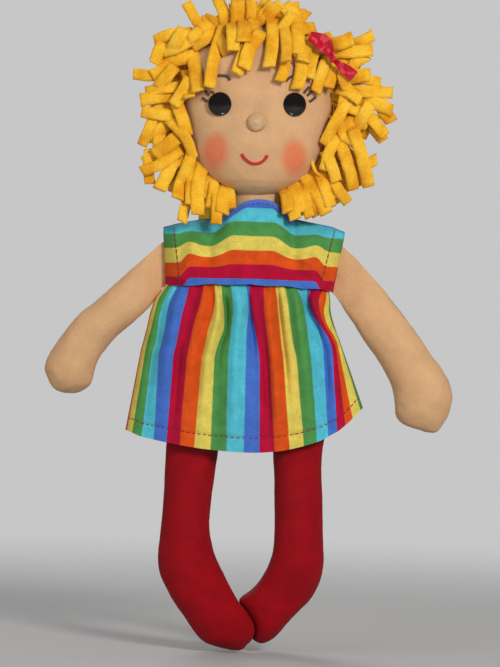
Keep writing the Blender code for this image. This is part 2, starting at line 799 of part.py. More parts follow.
def build_face(finishes, head, skin, filling):
    cutters = []
    for name, side in (("eye_left", LEFT), ("eye_right", RIGHT)):
        x = side * EYE_SPREAD / 2
        build_button(name, x, EYE_Z, EYE_DIAMETER, EYE_DOME, finishes["black"], head, cutters)
    build_button("nose", 0, NOSE_Z, NOSE_DIAMETER, NOSE_DOME, finishes["flesh"], head, cutters)
    for cutter in cutters:
        cut(skin, cutter)
        cut(filling, cutter)
    steps = [i / 4 - 1 for i in range(9)]
    mouth = [(MOUTH_WIDTH / 2 * t, MOUTH_Z - MOUTH_SAG * (1 - t * t)) for t in steps]
    face_line("mouth", mouth, MOUTH_THICKNESS, finishes["crimson"], head)
    for name, side in (("brow_left", LEFT), ("brow_right", RIGHT)):
        brow = []
        for t in (-1, -0.5, 0, 0.5, 1):
            x = side * BROW_SPREAD / 2 + BROW_LENGTH / 2 * t
            brow.append((x, BROW_Z + BROW_RISE * (1 - t * t)))
        face_line(name, brow, BROW_THICKNESS, finishes["brown"], head)


def comb(name, strips, place, length, head, finishes):
    """A row of hair strips cut from one band. place(edge, middle, out) gives each corner."""
    mesh = bpy.data.meshes.new(name)
    shape = bmesh.new()
    gap = (1 - STRIP_FILL_SHARE) / 2
    columns = []
    for i in range(strips):
        middle = (i + 0.5) / strips
        own = length * STRIP_LENGTH_SHARES[i % len(STRIP_LENGTH_SHARES)]
        outs = (0, STRIP_BAND, (STRIP_BAND + own) / 2, own)
        for edge in ((i + gap) / strips, (i + 1 - gap) / strips):
            points = [place(edge, middle, out) for out in outs]
            columns.append([shape.verts.new(point) for point in points])
    for i, (first, second) in enumerate(zip(columns, columns[1:])):
        last = len(first) - 1 if i % 2 == 0 else 1
        for level in range(last):
            corners = (first[level], second[level], second[level + 1], first[level + 1])
            shape.faces.new(corners)
    shape.to_mesh(mesh)
    shape.free()
    thicken(add_object(name, mesh, finishes["gold"], head), STRIP_CLOTH)


def ring_place(polar, tilt, first, last, lift=ROW_LIFT):
    """Where the strips of a row round the face go: out from the head, sagging towards their ends."""

    def place(edge, middle, out):
        azimuth = radians(first + (last - first) * edge)
        aim_at = radians(first + (last - first) * middle)
        base = head_point(radians(polar), azimuth, lift)
        direction = Vector((cos(aim_at), tilt, sin(aim_at))).normalized()
        sag = STRIP_SAG * (out / STRIP_LENGTH) ** 2
        return base + direction * out - Vector((0, 0, sag))

    return place


def ring_strips(polar, first, last):
    radius = (HEAD_WIDTH + HEAD_HEIGHT) / 4 * sin(radians(polar))
    return round(radians(last - first) * radius * STRIP_FILL_SHARE / STRIP_WIDTH)


def build_hair_rings(finishes, head):
    for name, polar, tilt, first, last in RING_ROWS:
        place = ring_place(polar, tilt, first, last)
        comb(name, ring_strips(polar, first, last), place, STRIP_LENGTH, head, finishes)


def hanging_place(side, top, half_reach, flare, drop, seat):
    """Where strips go that hang over the front or the back of the head from a row sewn at top."""

    def place(edge, middle, out):
        x = half_reach * (2 * edge - 1)
        z = top - drop * (2 * middle - 1) ** 2 - out
        lift = seat + flare * out / STRIP_LENGTH
        widest = min(HEAD_BOTTOM + HEAD_HEIGHT * HEAD_MIDDLE_SHARE, top)
        point, _ = head_face_point(x, max(z, widest), side, lift)
        return Vector((point.x, point.y, z))

    return place


def build_back_tiers(finishes, head):
    for tier in range(BACK_TIERS):
        top = HEAD_BOTTOM + HEAD_HEIGHT * BACK_TIER_TOP_SHARE - BACK_TIER_STEP * tier
        half_width, _ = head_section((top - HEAD_BOTTOM) / HEAD_HEIGHT, 0)
        reach = half_width * BACK_TIER_REACH_SHARES[tier]
        place = hanging_place(BACK, top, reach, BACK_FLARE, 0, TIER_LIFT)
        strips = round(2 * reach * STRIP_FILL_SHARE / STRIP_WIDTH)
        comb(f"hair_tier_{tier + 1}", strips, place, BACK_STRIP_LENGTH, head, finishes)


def build_fringe(finishes, head):
    half = FRINGE_WIDTH / 2
    top = HEAD_BOTTOM + HEAD_HEIGHT * FRINGE_TOP_SHARE
    place = hanging_place(FRONT, top, half, FRINGE_FLARE, FRINGE_DROP, FRINGE_LIFT)
    strips = round(FRINGE_WIDTH * STRIP_FILL_SHARE / STRIP_WIDTH)
    length = top - FRINGE_TO_EYE - EYE_DIAMETER / 2 - EYE_Z
    comb("hair_fringe", strips, place, length, head, finishes)


def build_tuft(finishes, head):
    first, last = TUFT_DEGREES
    place = ring_place(TUFT_POLAR_DEGREES, TUFT_TILT, first, last, TUFT_LIFT)
    comb("hair_tuft", TUFT_STRIPS, place, TUFT_LENGTH, head, finishes)


def cap_row(share):
    """The back part of a head ring, moved off the head, and away from its middle height too."""
    lift = GAP + CAP_CLOTH / 2
    around = head_ring(share, -lift, lift * (2 * share - 1))
    front = HEAD_SIDES // 20
    half = HEAD_SIDES // 2
    return [around[i] for i in range(-front, half + front + 1)]


def build_hair_cap(finishes, head):
    """The cloth cap that the strips are sewn to, from ear to ear over the back of the head."""
    rows = [cap_row(share) for share in HEAD_RIB_SHARES[CAP_FIRST_RIB:]]
    sheet("hair_cap", rows, CAP_CLOTH, finishes["gold"], head)


def ribbon(name, points, width, finish, head):
    """A ribbon through points; width is the vector across half of it."""
    rows = [[point - width, point + width] for point in points]
    return sheet(name, rows, RIBBON_CLOTH, finish, head)


def bow_seat():
    """The place in front of the front row of strips where the bow's knot is sewn."""
    _, polar, tilt, first, last = RING_ROWS[0]
    along = (BOW_DEGREES - first) / (last - first)
    seat = ring_place(polar, tilt, first, last)(along, along, BOW_OUT)
    forward = (KNOT_DEPTH + STRIP_CLOTH) / 2 + GAP - tilt * KNOT_SIZE / 2
    return seat - Vector((0, forward, 0))


def build_bow(finishes, head):
    knot = bow_seat()
    half = KNOT_DEPTH / 2
    profile = [(KNOT_SIZE / 2 * KNOT_END_SHARE, -half), (KNOT_SIZE / 2, -half * KNOT_END_SHARE)]
    profile += [(radius, -height) for radius, height in reversed(profile)]
    barrel = turned("bow_knot", profile, finishes["crimson"], head)
    aim(barrel, knot, Vector((0, -1, 0)))
    start = KNOT_SIZE / 2 + RIBBON_WIDTH / 2 * BOW_OPENING + GAP
    out = Vector(BOW_LOOP_WAY).normalized()
    width = out.cross(Vector((0, 1, 0))).normalized() * RIBBON_WIDTH / 2
    loop = []
    for i in range(BOW_STEPS + 1):
        turn = tau * (BOW_OPENING + (1 - 2 * BOW_OPENING) * i / BOW_STEPS)
        along = BOW_LOOP_LENGTH / 2 * (1 - cos(turn))
        loop.append(knot + out * (start + along) + Vector((0, BOW_LOOP_HEIGHT / 2 * sin(turn), 0)))
    ribbon("bow_loop", loop, width, finishes["crimson"], head)
    out = Vector(BOW_TAIL_WAY).normalized()
    width = out.cross(Vector((0, 1, 0))).normalized() * RIBBON_WIDTH / 2
    tail = []
    for i in range(BOW_STEPS // 2 + 1):
        along = BOW_TAIL_LENGTH * 2 * i / BOW_STEPS
        tail.append(knot + out * (KNOT_SIZE / 2 + GAP + along))
    ribbon("bow_tail", tail, width, finishes["crimson"], head)


def make_finishes():
    return {
        "flesh": material("flesh_cotton", FLESH, 0.85),
        "red": material("red_cotton", RED, 0.85),
        "gold": material("gold_fleece", GOLD, 0.95),
        "crimson": material("crimson_satin", CRIMSON, 0.4),
        "blue": material("blue_cotton", BLUE, 0.8),
        "rainbow": material("rainbow_cotton", RAINBOW, 0.8),
        "fibre": material("fibre_filling", FIBRE, 0.95),
        "black": material("black_button", BLACK, 0.1),
        "brown": material("brown_thread", BROWN, 0.8),
        "white": material("white_tape", WHITE, 0.9),
    }


def main():
    clear_scene()
    finishes = make_finishes()
    back_face = placket_layers()[-1][2]
    doll = add_empty("doll", Vector((0, -back_face, -TAPE_MIDDLE)))
    build_torso(finishes, doll)
    build_bodice(finishes, doll)
    build_skirt(finishes, doll)
    build_hem_stitching(finishes, doll)
    for side in (LEFT, RIGHT):
        build_arm(side, finishes, doll)
        build_leg(side, finishes, doll)
    head = add_empty("head", Vector((0, 0, NOD_AXIS)), doll)
    flat = add_empty("head_zero", -head.location, head)
    skin, filling = build_head(finishes, flat)
    build_face(finishes, flat, skin, filling)
    build_hair_cap(finishes, flat)
    build_hair_rings(finishes, flat)
    build_back_tiers(finishes, flat)
    build_fringe(finishes, flat)
    build_tuft(finishes, flat)
    build_bow(finishes, flat)


main()
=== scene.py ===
"""The look of a stuffed cloth doll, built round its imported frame.

Metres, Z up, the face looks along -Y. Tables are in millimetres from the middle of the waist, and
at() puts them in the frame. Left and right are the viewer's.
"""

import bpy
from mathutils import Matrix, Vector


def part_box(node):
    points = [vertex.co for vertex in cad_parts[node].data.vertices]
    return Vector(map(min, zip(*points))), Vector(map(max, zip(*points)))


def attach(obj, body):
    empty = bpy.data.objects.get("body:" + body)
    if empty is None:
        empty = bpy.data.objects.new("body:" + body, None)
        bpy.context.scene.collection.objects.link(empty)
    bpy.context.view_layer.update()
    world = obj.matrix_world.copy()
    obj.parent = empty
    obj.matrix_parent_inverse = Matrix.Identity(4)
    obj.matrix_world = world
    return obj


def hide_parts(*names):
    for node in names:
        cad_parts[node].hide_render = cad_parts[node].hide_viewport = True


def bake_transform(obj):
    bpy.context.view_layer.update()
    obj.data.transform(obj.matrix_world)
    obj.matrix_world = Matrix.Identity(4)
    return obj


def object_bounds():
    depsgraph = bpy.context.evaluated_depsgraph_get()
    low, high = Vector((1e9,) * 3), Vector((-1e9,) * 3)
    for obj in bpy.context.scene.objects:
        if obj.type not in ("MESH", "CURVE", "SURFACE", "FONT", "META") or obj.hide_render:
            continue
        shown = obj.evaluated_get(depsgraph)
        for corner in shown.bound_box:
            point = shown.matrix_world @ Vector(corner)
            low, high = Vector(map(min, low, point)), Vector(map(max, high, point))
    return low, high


bl_info = {
    "name": "Cloth doll",
    "version": (1, 0, 0),
    "blender": (4, 5, 0),
    "location": "View3D > Sidebar > Doll",
    "description": "Builds a stuffed doll with fleece hair and a gathered striped dress",
    "category": "Add Mesh",
}

from math import atan2, ceil, cos, exp, pi, radians, sin, sqrt, tau
from random import Random

import bmesh
import bpy
from bpy.props import FloatProperty, FloatVectorProperty, PointerProperty
from mathutils import Matrix, Vector, noise

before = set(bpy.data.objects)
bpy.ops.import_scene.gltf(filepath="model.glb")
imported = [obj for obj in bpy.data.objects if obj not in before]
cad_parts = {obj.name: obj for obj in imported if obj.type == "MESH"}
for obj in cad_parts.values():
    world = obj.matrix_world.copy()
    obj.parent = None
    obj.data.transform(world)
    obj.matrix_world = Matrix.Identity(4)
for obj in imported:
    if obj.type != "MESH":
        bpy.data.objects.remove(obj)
CAD_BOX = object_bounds()

MM = 0.001
SEAT_TO_WAIST = 82 * MM
FLOOR_GAP = 1.5 * MM
TORSO_LOW, TORSO_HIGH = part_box("torso_skin")
PLACKET_LOW, PLACKET_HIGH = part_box("back_placket")
DOLL_Y = (TORSO_LOW[1] + TORSO_HIGH[1]) / 2
WAIST_Z = TORSO_LOW[2] + SEAT_TO_WAIST
FLOOR_Z = CAD_BOX[0][2] - FLOOR_GAP

# Head: its lowest and highest point, then rows of height, half width and half depth as shares
HEAD_BOTTOM = 56
HEAD_TOP = 170
HEAD_MIDDLE = (HEAD_BOTTOM + HEAD_TOP) / 2
HEAD_ROWS = (
    (0.000, 0.04, 0.08),
    (0.012, 0.19, 0.36),
    (0.030, 0.325, 0.53),
    (0.055, 0.45, 0.655),
    (0.092, 0.60, 0.765),
    (0.180, 0.785, 0.885),
    (0.280, 0.90, 0.95),
    (0.450, 0.995, 0.985),
    (0.580, 1.00, 1.00),
    (0.720, 0.945, 0.96),
    (0.840, 0.80, 0.83),
    (0.930, 0.57, 0.60),
    (0.980, 0.31, 0.33),
    (1.000, 0.02, 0.02),
)
HEAD_HALF = (50.4, 36.0)
EYES = ((-23.7, 114.4), (24.0, 115.4))
NOSE = (0, 103.1)
# Where the eyes and the nose draw the face's cloth in: place, depth and reach
DIMPLES = ((EYES[0], 2.2, 9.5), (EYES[1], 2.2, 9.5), (NOSE, 1.6, 8))
# The smile's crease: depth, lowest height, rise towards its ends, reach up and down and across
SMILE = (0.6, 79, 0.09, 2.5, 10)
# Blush on the cheeks: middles, and the reach across and up in metres
CHEEKS = ((-26, 84.2), (25.0, 81.6))
BLUSH_WIDE, BLUSH_HIGH = 0.0104, 0.0142

# Torso: height, half width and half depth
TORSO_ROWS = (
    (-82, 50, 0.8),
    (-79, 52, 7),
    (-70, 53, 15),
    (-45, 53.5, 21),
    (-15, 52, 22.7),
    (20, 52.5, 22.7),
    (31, 53, 22),
    (37, 46, 18),
    (41, 32, 15.5),
    (45, 19.5, 13.6),
    (49, 15.7, 12.4),
    (53, 15.2, 11.8),
)
# How far the torso lies inside its table under the dress
TORSO_SLACK = 4.5
# Neck, flared at its foot: height, half width, half depth
NECK_ROWS = (
    (36.5, 28, 7.5),
    (40, 23, 10.5),
    (43.5, 18, 12),
    (48, 15.5, 12.6),
    (54, 15.6, 12.8),
    (60, 15.9, 13),
)

# Arms: upper edge out and down, lower edge out and down, depth
LEFT_ARM = (
    (-6, -13.0, -6, 13.8, 1.4),
    (0, -14.3, -0.6, 16.4, 1.8),
    (9.6, -5.6, 1.2, 19.8, 5.1),
    (19.1, 3.2, 7.2, 27.9, 17.1),
    (29.9, 13.2, 16.2, 38.1, 26.1),
    (42.5, 25.3, 27.6, 47.6, 30),
    (54, 34.7, 35.8, 57, 30),
    (67.3, 52.3, 39.9, 63.6, 30.9),
    (75.4, 68, 42.4, 71.5, 30),
    (73.6, 77.3, 43.6, 77.5, 27),
    (69.3, 84, 46, 81.8, 19),
    (63.8, 86.2, 51.5, 85.4, 9),
    (60, 86.6, 55.5, 86.6, 0),
)
RIGHT_ARM = (
    (-6, -13.2, -6.4, 16.2, 1.4),
    (0, -14.5, -3.4, 19.2, 1.8),
    (13.7, -2.1, 0.4, 24.4, 5.1),
    (29.8, 15.6, 5.6, 32.4, 17.1),
    (46, 35.4, 13.4, 43.8, 27),
    (59.5, 53.8, 24.2, 58.6, 30),
    (69.3, 67, 31.3, 69.4, 30.9),
    (74, 76.6, 34.8, 77.4, 32.1),
    (74.8, 85.2, 36.6, 88, 31),
    (72.6, 93.2, 37.6, 95.8, 26),
    (68.7, 101.2, 43.5, 101.4, 17),
    (65.5, 105.3, 53.5, 104.8, 9),
    (62.5, 106.4, 58.5, 106, 0),
)
ARM_X = 58.5
ARM_Z = 11.5

# Legs: drop, outer edge, inner edge, depth
LEFT_LEG = (
    (0, 52.5, 19.5, 1.6),
    (4, 53, 19, 4.4),
    (9, 53, 18.5, 13.9),
    (16, 53.2, 18.3, 25.2),
    (26, 53.2, 18.8, 32),
    (50, 53.7, 21.3, 34),
    (70, 54.8, 22.9, 34),
    (82, 55.8, 22.2, 34),
    (94.5, 56.6, 18.9, 33.5),
    (106, 55.4, 12.7, 33),
    (114.7, 51.2, 7.6, 33.5),
    (123.4, 46.4, 2.5, 34),
    (130, 42, -2.8, 34),
    (136.8, 37, -7.2, 33),
    (142.5, 32.8, -8.7, 30),
    (148.5, 28, -6.8, 24),
    (152, 22.8, -3.4, 16),
    (154.2, 14, -1.5, 9),
    (155.6, 7, 2, 0),
)
RIGHT_LEG = (
    (0, 51.5, 17, 1.6),
    (4, 51.5, 17, 4.4),
    (9, 51, 17, 13.9),
    (16, 50.5, 17, 25.2),
    (26, 49.2, 16.6, 32),
    (45, 49.7, 18.2, 34),
    (69, 50.9, 18.9, 34),
    (86.6, 52, 18.8, 34),
    (98.4, 52.4, 16.3, 33),
    (109.3, 50.2, 10.7, 33),
    (116.3, 47.2, 5.2, 33.5),
    (122.9, 43.2, -2.9, 34),
    (128.5, 37.6, 0.3, 34),
    (136.8, 30.3, 5.7, 32),
    (142, 26.3, 7.3, 28),
    (146.5, 22.2, 6.8, 22),
    (149, 18.8, 6.8, 16),
    (150.6, 16, 9.6, 8),
    (151.4, 14, 11.6, 0),
)
HIP_Z = -84.5
# The right foot lies behind the left toe: how far, from which drop, over how much of it
RIGHT_FOOT_BACK = (7.0, 96, 28)

# Dress. Stripe lines across the front: number, places from the waist to the middle and at the hem
STRIPE_LINES = (
    (-4.5, -56, -62.2, -65.3, -67.1, -69.1, -71.2, -79.5),
    (-4, -55.6, -61.5, -64.5, -66.3, -68.3, -70.4, -78.2),
    (-3, -54.4, -59.8, -62.2, -64, -66.3, -68, -74.9),
    (-2, -51.8, -56, -59, -60, -61.2, -63.6, -68.8),
    (-1, -47.5, -51.9, -54.2, -55.3, -57.1, -59, -60.6),
    (0, -40, -42, -44.4, -46.2, -47.9, -49.9, -52.3),
    (1, -30.8, -32, -34.5, -37.1, -38.8, -40.5, -43.5),
    (2, -24, -23.1, -24.3, -27.1, -28.9, -30.9, -34.2),
    (3, -20, -19.1, -17.8, -17.8, -21.3, -23.2, -23.8),
    (4, -14, -11.9, -11.3, -12.3, -13.2, -13.8, -13.3),
    (5, -3.2, -2.5, -2.1, -2.8, -2.6, -2.6, -2.3),
    (6, -1.2, -0.8, 0.6, 3.3, 5.3, 6.4, 8.1),
    (7, 7.2, 8.3, 9.2, 10.6, 12, 13.4, 18),
    (8, 15, 16.2, 17.4, 18.7, 20, 21.5, 27.3),
    (9, 21, 23.1, 24.7, 26.4, 28.3, 30.6, 36.7),
    (10, 28, 32.2, 34.6, 36.1, 37.7, 39.3, 44.9),
    (11, 36, 36.2, 39.2, 44.1, 46.7, 47.7, 52.1),
    (12, 38, 37.2, 40.3, 46.1, 51.4, 53.6, 58),
    (13, 46.5, 43.2, 44.5, 48, 53.2, 56, 63),
    (14, 48.6, 48.2, 47, 49.4, 54.4, 57.4, 67.8),
    (15.5, 50, 51, 51.5, 53.4, 56, 58.9, 74.5),
)
FIRST_LINE, LAST_LINE = STRIPE_LINES[0][0], STRIPE_LINES[-1][0]
# The stripe line that the back ends with, counted on from the front's last one
BACK_LAST_LINE = 37.5
# Places along the cloth where the front is cut into patches
PATCH_LINES = (-4.5, 0.5, 2.75, 5.25, 8, 10.25, 15.5)
# Raised folds of the skirt: stripe line, half width, height (negative is a valley), start, end
SKIRT_FOLDS = (
    (-3.1, 5, 2.6, 0.02, 1.0),
    (-0.4, 6, 4.6, 0.02, 0.8),
    (1.2, 6, 4.2, 0.0, 0.7),
    (2.4, 4, 5.6, 0.0, 0.46),
    (4.4, 5.5, 4.6, 0.02, 1.0),
    (7.3, 5, 4.8, 0.0, 1.0),
    (9.6, 5.5, 4.8, 0.0, 1.0),
    (12.5, 4.4, 6.8, 0.0, 0.75),
    (11.9, 6, 2.6, 0.4, 1.0),
    (-2, 3.5, -2.6, 0.05, 1.0),
    (0.4, 3, -2.4, 0.35, 1.0),
    (1.9, 3, -3.0, 0.3, 0.85),
    (3.3, 3.4, -5.0, 0.02, 0.6),
    (5.6, 3, -4.4, 0.0, 0.55),
    (6.7, 3.2, -3.6, 0.3, 0.95),
    (8.15, 2.8, -4.8, 0.02, 0.75),
    (10.9, 3, -5.0, 0.0, 0.5),
    (11.3, 3.4, -3.6, 0.3, 0.9),
    (14.3, 3, -4.6, 0.03, 0.7),
)
# The top edge of the bodice, from corner to corner: place across and height
BODICE_TOP = (
    (-58.6, 34.5),
    (-51, 36.6),
    (-38, 39.3),
    (-25, 41.2),
    (-18, 43.2),
    (-12.5, 47.3),
    (-6, 51.6),
    (3, 53.5),
    (12, 52.2),
    (18.5, 47.4),
    (25, 42.6),
    (36, 40.2),
    (51, 37.6),
    (59.6, 34.5),
)

# Hair strips in view: root and tip across and up, lift in the middle, layer
FRINGE = (
    (-24, 161, -31, 124, 3, 2), (-43, 148, -38, 121, 3, 1), (-46, 132, -44, 116, 2, 1),
    (-17, 164, -16, 149, 6, 3), (-4, 167, -14, 133, 4, 2), (0, 158, -9, 136, 3, 1),
    (8, 169, 7, 138, 5, 3), (16, 162, 18, 139, 5, 3), (16, 141, 14, 129, 2, 1),
    (25, 168, 26, 148, 5, 3), (26, 149, 25, 125, 3, 1), (38, 153, 33, 133, 4, 2),
    (45, 146, 38, 125, 4, 2), (50, 143, 45, 125, 4, 2), (-31, 160, -43, 152, 6, 3),
    (-10, 166, -10, 153, 5, 3), (-26, 159, -21, 149, 3, 1), (19, 174, 13, 164, 6, 4),
    (32, 156, 28, 139, 3, 1),
)
TOP = (
    (-36, 161, -48, 181, 4, 1), (-21, 164, -29, 187, 5, 1), (-15, 166, -16, 189, 5, 2),
    (-7, 168, -8, 189, 5, 1), (-30, 163, -39, 170, 4, 2), (-2, 171, 9, 182, 4, 1),
    (12, 177, 26, 180, 5, 2), (28, 170, 31, 178, 4, 1), (6, 171, 15, 182, 5, 1),
    (19, 177, 27, 167, 6, 3), (2, 170, -5, 182, 3, 0), (-24, 165, -36, 172, 4, 1),
    (27, 164, 36, 167, 5, 2),
)
LEFT_SIDE = (
    (-49, 160, -68, 155, 5, 2), (-46, 156, -63, 148, 5, 3), (-45, 145, -65, 139, 4, 2),
    (-66, 134, -81, 134, 3, 1), (-62, 153, -67, 140, 4, 2), (-57, 135, -65, 125, 5, 3),
    (-55, 125, -72, 122, 4, 3), (-53, 119, -76, 116, 4, 2), (-52, 106, -75, 109, 4, 3),
    (-51, 112, -45, 94, 5, 4), (-54, 100, -40, 79, 5, 4), (-52, 93, -66, 81, 5, 3),
    (-67, 104, -74, 87, 4, 2), (-63, 91, -63, 80, 4, 2), (-52, 83, -74, 70, 4, 3),
    (-69, 80, -68, 62, 3, 1), (-55, 76, -62, 58, 4, 2), (-43, 80, -53, 57, 4, 3),
    (-57, 140, -69, 132, 3, 1), (-59, 115, -70, 105, 3, 1), (-56, 108, -64, 96, 4, 2),
    (-60, 87, -73, 77, 3, 1), (-51, 159, -57, 146, 5, 4), (-42, 160, -51, 154, 5, 4),
    (-63, 143, -69, 146, 3, 1), (-59, 99, -69, 91, 3, 2), (-46, 127, -53, 115, 3, 3),
    (-39, 76, -41, 49, 4, 3), (-34, 74, -36, 42, 4, 2), (-28, 68, -29, 49, 3, 1),
    (-40, 57, -46, 40, 3, 2), (-23, 62, -24, 38, 4, 3), (-16, 61, -20, 45, 3, 1),
    (-45, 71, -50, 52, 3, 1), (-31, 71, -33, 53, 3, 3), (-20, 63, -16, 50, 2, 1),
)
RIGHT_SIDE = (
    (58, 117, 44, 91, 5, 4), (52, 94, 45, 74, 4, 3), (56, 125, 67, 119, 5, 4),
    (63, 126, 88, 126, 5, 3), (68, 118, 88, 114, 5, 2), (64, 134, 80, 132, 4, 2),
    (49, 151, 74, 153, 5, 3), (48, 156, 61, 160, 6, 4), (66, 159, 74, 163, 3, 2),
    (57, 138, 59, 126, 6, 4), (70, 112, 84, 97, 4, 2), (64, 97, 74, 64, 5, 4),
    (67, 82, 79, 83, 3, 1), (56, 89, 63, 68, 4, 3), (44, 72, 50, 56, 3, 2), (52, 65, 61, 54, 3, 2),
    (53, 148, 67, 145, 4, 2), (60, 115, 79, 107, 5, 3), (55, 109, 59, 94, 4, 2),
    (58, 82, 64, 62, 4, 2), (58, 124, 55, 112, 5, 3), (67, 146, 59, 138, 4, 3),
    (68, 136, 55, 133, 5, 4), (78, 126, 88, 107, 4, 1), (47, 82, 53, 67, 4, 3),
    (71, 114, 64, 102, 4, 4), (76, 104, 83, 95, 3, 1), (65, 78, 69, 65, 3, 1),
    (21, 60, 27, 42, 3, 2), (29, 63, 36, 44, 4, 3), (37, 67, 47, 46, 4, 2), (42, 71, 50, 50, 3, 3),
    (57, 106, 73, 99, 4, 1), (56, 101, 71, 109, 4, 2), (57, 97, 68, 89, 4, 2),
    (55, 112, 73, 104, 4, 0), (25, 61, 30, 47, 3, 1), (33, 67, 41, 46, 3, 1),
    (40, 70, 54, 53, 3, 1), (18, 59, 21, 49, 2, 1),
)
# Groups of strips in view: name, solids that they stand for, table, seed
VIEW_GROUPS = (
    ("hair_fringe_strips", ("hair_fringe",), FRINGE, 11),
    ("hair_top_strips", ("hair_tuft",), TOP, 12),
    ("hair_left_strips", (), LEFT_SIDE, 13),
    ("hair_right_strips", ("hair_row_front",), RIGHT_SIDE, 14),
)
# Rings that stand out: name, solids, degrees from straight ahead, count, first and last degrees
# round the head, reach, seed
RINGS = (
    ("hair_front_ring", (), 80, 30, -50, 230, 21, 10),
    ("hair_middle_ring", ("hair_row_middle",), 90, 30, -52, 232, 27, 15),
    ("hair_crown_ring", ("hair_row_crown",), 103, 28, -48, 228, 27, 16),
)
# The rounded form that the rings are sewn to, a little flattened above RING_TOP
RING_HALF = Vector((47.5, 36.5, 55))
RING_TOP = 150
# Rows lying over the sides and the back: degrees from straight ahead, count, seed
LYING_ROWS = ((99, 26, 31), (112, 24, 32), (125, 21, 33), (138, 16, 34))
LYING_ENDS = (-50, 230)
# Rows hanging down the back: the highest, the step down, reach as shares of the head, strip length
BACK_TOP = 156
BACK_STEP = 20.5
BACK_SHARES = (0.66, 0.86, 0.93, 0.92, 0.86)
BACK_LENGTH = 33
# The solids have fewer rows there
CAD_TIERS = 4
# How far the lowest layer of strips in view stands off the head, and each layer off the one below
LAYER_FIRST = 1.6
LAYER_STEP = 2.1
# Below this height a strip lies no closer to the back of the head than it does here
NAPE = 113
# Tips below CLEAR_FROM hang in front of the dress, clear of it when the head nods: how near to the
# middle plane one comes before the neckline and before the shoulders, and how that grows downward
CLEAR_FROM = 53
NECKLINE_HALF = 25
NECKLINE_Y = -24
SHOULDER_Y = -20.5
CLEAR_SLOPE = 0.35
# Strips that start and end below these heights, within this reach, are sewn on behind the jaw
JAW_ROOT = 78
JAW_TIP = 58
JAW_HALF = 48


def at(x, y, z):
    """A place in millimetres from the middle of the waist, as a point of the frame."""
    return Vector((x * MM, y * MM + DOLL_Y, z * MM + WAIST_Z))


def mix(a, b, t):
    return a + (b - a) * t


def smooth(t):
    """0 below 0, 1 above 1, and a soft step between."""
    t = min(max(t, 0), 1)
    return t * t * (3 - 2 * t)


def bump(distance, reach):
    """1 at no distance, falling softly to almost nothing at twice the reach."""
    return exp(-((distance / reach) ** 2))


def read(rows, t):
    """The row at place t of a table, on a smooth curve through all its rows."""
    last = len(rows) - 1
    i = min(int(max(t, 0)), last - 1)
    f = t - i
    a, b, c, d = (rows[min(max(k, 0), last)] for k in (i - 1, i, i + 1, i + 2))
    return [
        0.5 * (2 * q + f * (r - p + f * (2 * p - 5 * q + 4 * r - s + f * (3 * q - p - 3 * r + s))))
        for p, q, r, s in zip(a, b, c, d)
    ]


def look_up(rows, column, value):
    """One column of a table, at a value of its first column, on a smooth curve."""
    place = 0
    for i, (low, high) in enumerate(zip(rows, rows[1:])):
        if value >= low[0]:
            place = i + min((value - low[0]) / (high[0] - low[0]), 1)
    return read(rows, place)[column]


def head_half(z):
    """Half width and half depth of the head at a height."""
    share = min(max((z - HEAD_BOTTOM) / (HEAD_TOP - HEAD_BOTTOM), 0), 1)
    return (
        HEAD_HALF[0] * max(look_up(HEAD_ROWS, 1, share), 0.01),
        HEAD_HALF[1] * max(look_up(HEAD_ROWS, 2, share), 0.01),
    )


def head_front(x, z, outside=-8.0):
    """Where the face's surface lies in Y at x and z, or the hair's level outside the head."""
    if not HEAD_BOTTOM < z < HEAD_TOP:
        return outside
    half_width, half_depth = head_half(z)
    inside = 1 - (x / half_width) ** 2
    return min(-half_depth * sqrt(inside), outside) if inside > 0 else outside


# Making and finishing meshes


def deselect():
    bpy.ops.object.select_all(action="DESELECT")
    bpy.context.view_layer.objects.active = None


def pick(obj):
    deselect()
    obj.select_set(True)
    bpy.context.view_layer.objects.active = obj
    return obj


def name_it(obj, name, material):
    obj.name = obj.data.name = name
    obj.data.materials.clear()
    obj.data.materials.append(material)
    return obj


def grid(name, columns, rows, place, material, texture=None):
    """A grid of cloth whose points are moved to place(u, v), with texture(u, v) as its UV map."""
    deselect()
    bpy.ops.mesh.primitive_grid_add(x_subdivisions=columns, y_subdivisions=rows, size=1)
    obj = name_it(bpy.context.object, name, material)
    spots = [(point.co.x + 0.5, point.co.y + 0.5) for point in obj.data.vertices]
    for point, (u, v) in zip(obj.data.vertices, spots):
        point.co = place(u, v)
    if texture:
        layer = obj.data.uv_layers.active.data
        for loop in obj.data.loops:
            layer[loop.index].uv = texture(*spots[loop.vertex_index])
    return obj


def weld(obj, distance=1e-5):
    """Merges the points that a grid's ends share and turns its faces outwards."""
    pick(obj)
    bpy.ops.object.mode_set(mode="EDIT")
    bpy.ops.mesh.select_all(action="SELECT")
    bpy.ops.mesh.remove_doubles(threshold=distance)
    bpy.ops.mesh.normals_make_consistent(inside=False)
    bpy.ops.object.mode_set(mode="OBJECT")
    return obj


def apply(obj, kind, **values):
    pick(obj)
    modifier = obj.modifiers.new(kind.title(), kind)
    for key, value in values.items():
        setattr(modifier, key, value)
    bpy.ops.object.modifier_apply(modifier=modifier.name)
    return obj


def thicken(obj, thickness, offset=0.0):
    return apply(obj, "SOLIDIFY", thickness=thickness, offset=offset, use_even_offset=False)


def soften(obj, levels=1):
    apply(obj, "SUBSURF", levels=levels, render_levels=levels)
    pick(obj)
    bpy.ops.object.shade_smooth()
    return obj


def rumple(obj, height, size, seed):
    """Moves each point along its normal by soft noise, as stuffing under cloth does."""
    shift = Vector((seed * 7.31, seed * 3.7, seed * 1.9))
    normals = [point.normal.copy() for point in obj.data.vertices]
    for point, normal in zip(obj.data.vertices, normals):
        point.co += normal * height * noise.fractal(point.co / size + shift, 0.9, 2.0, 3)
    return obj


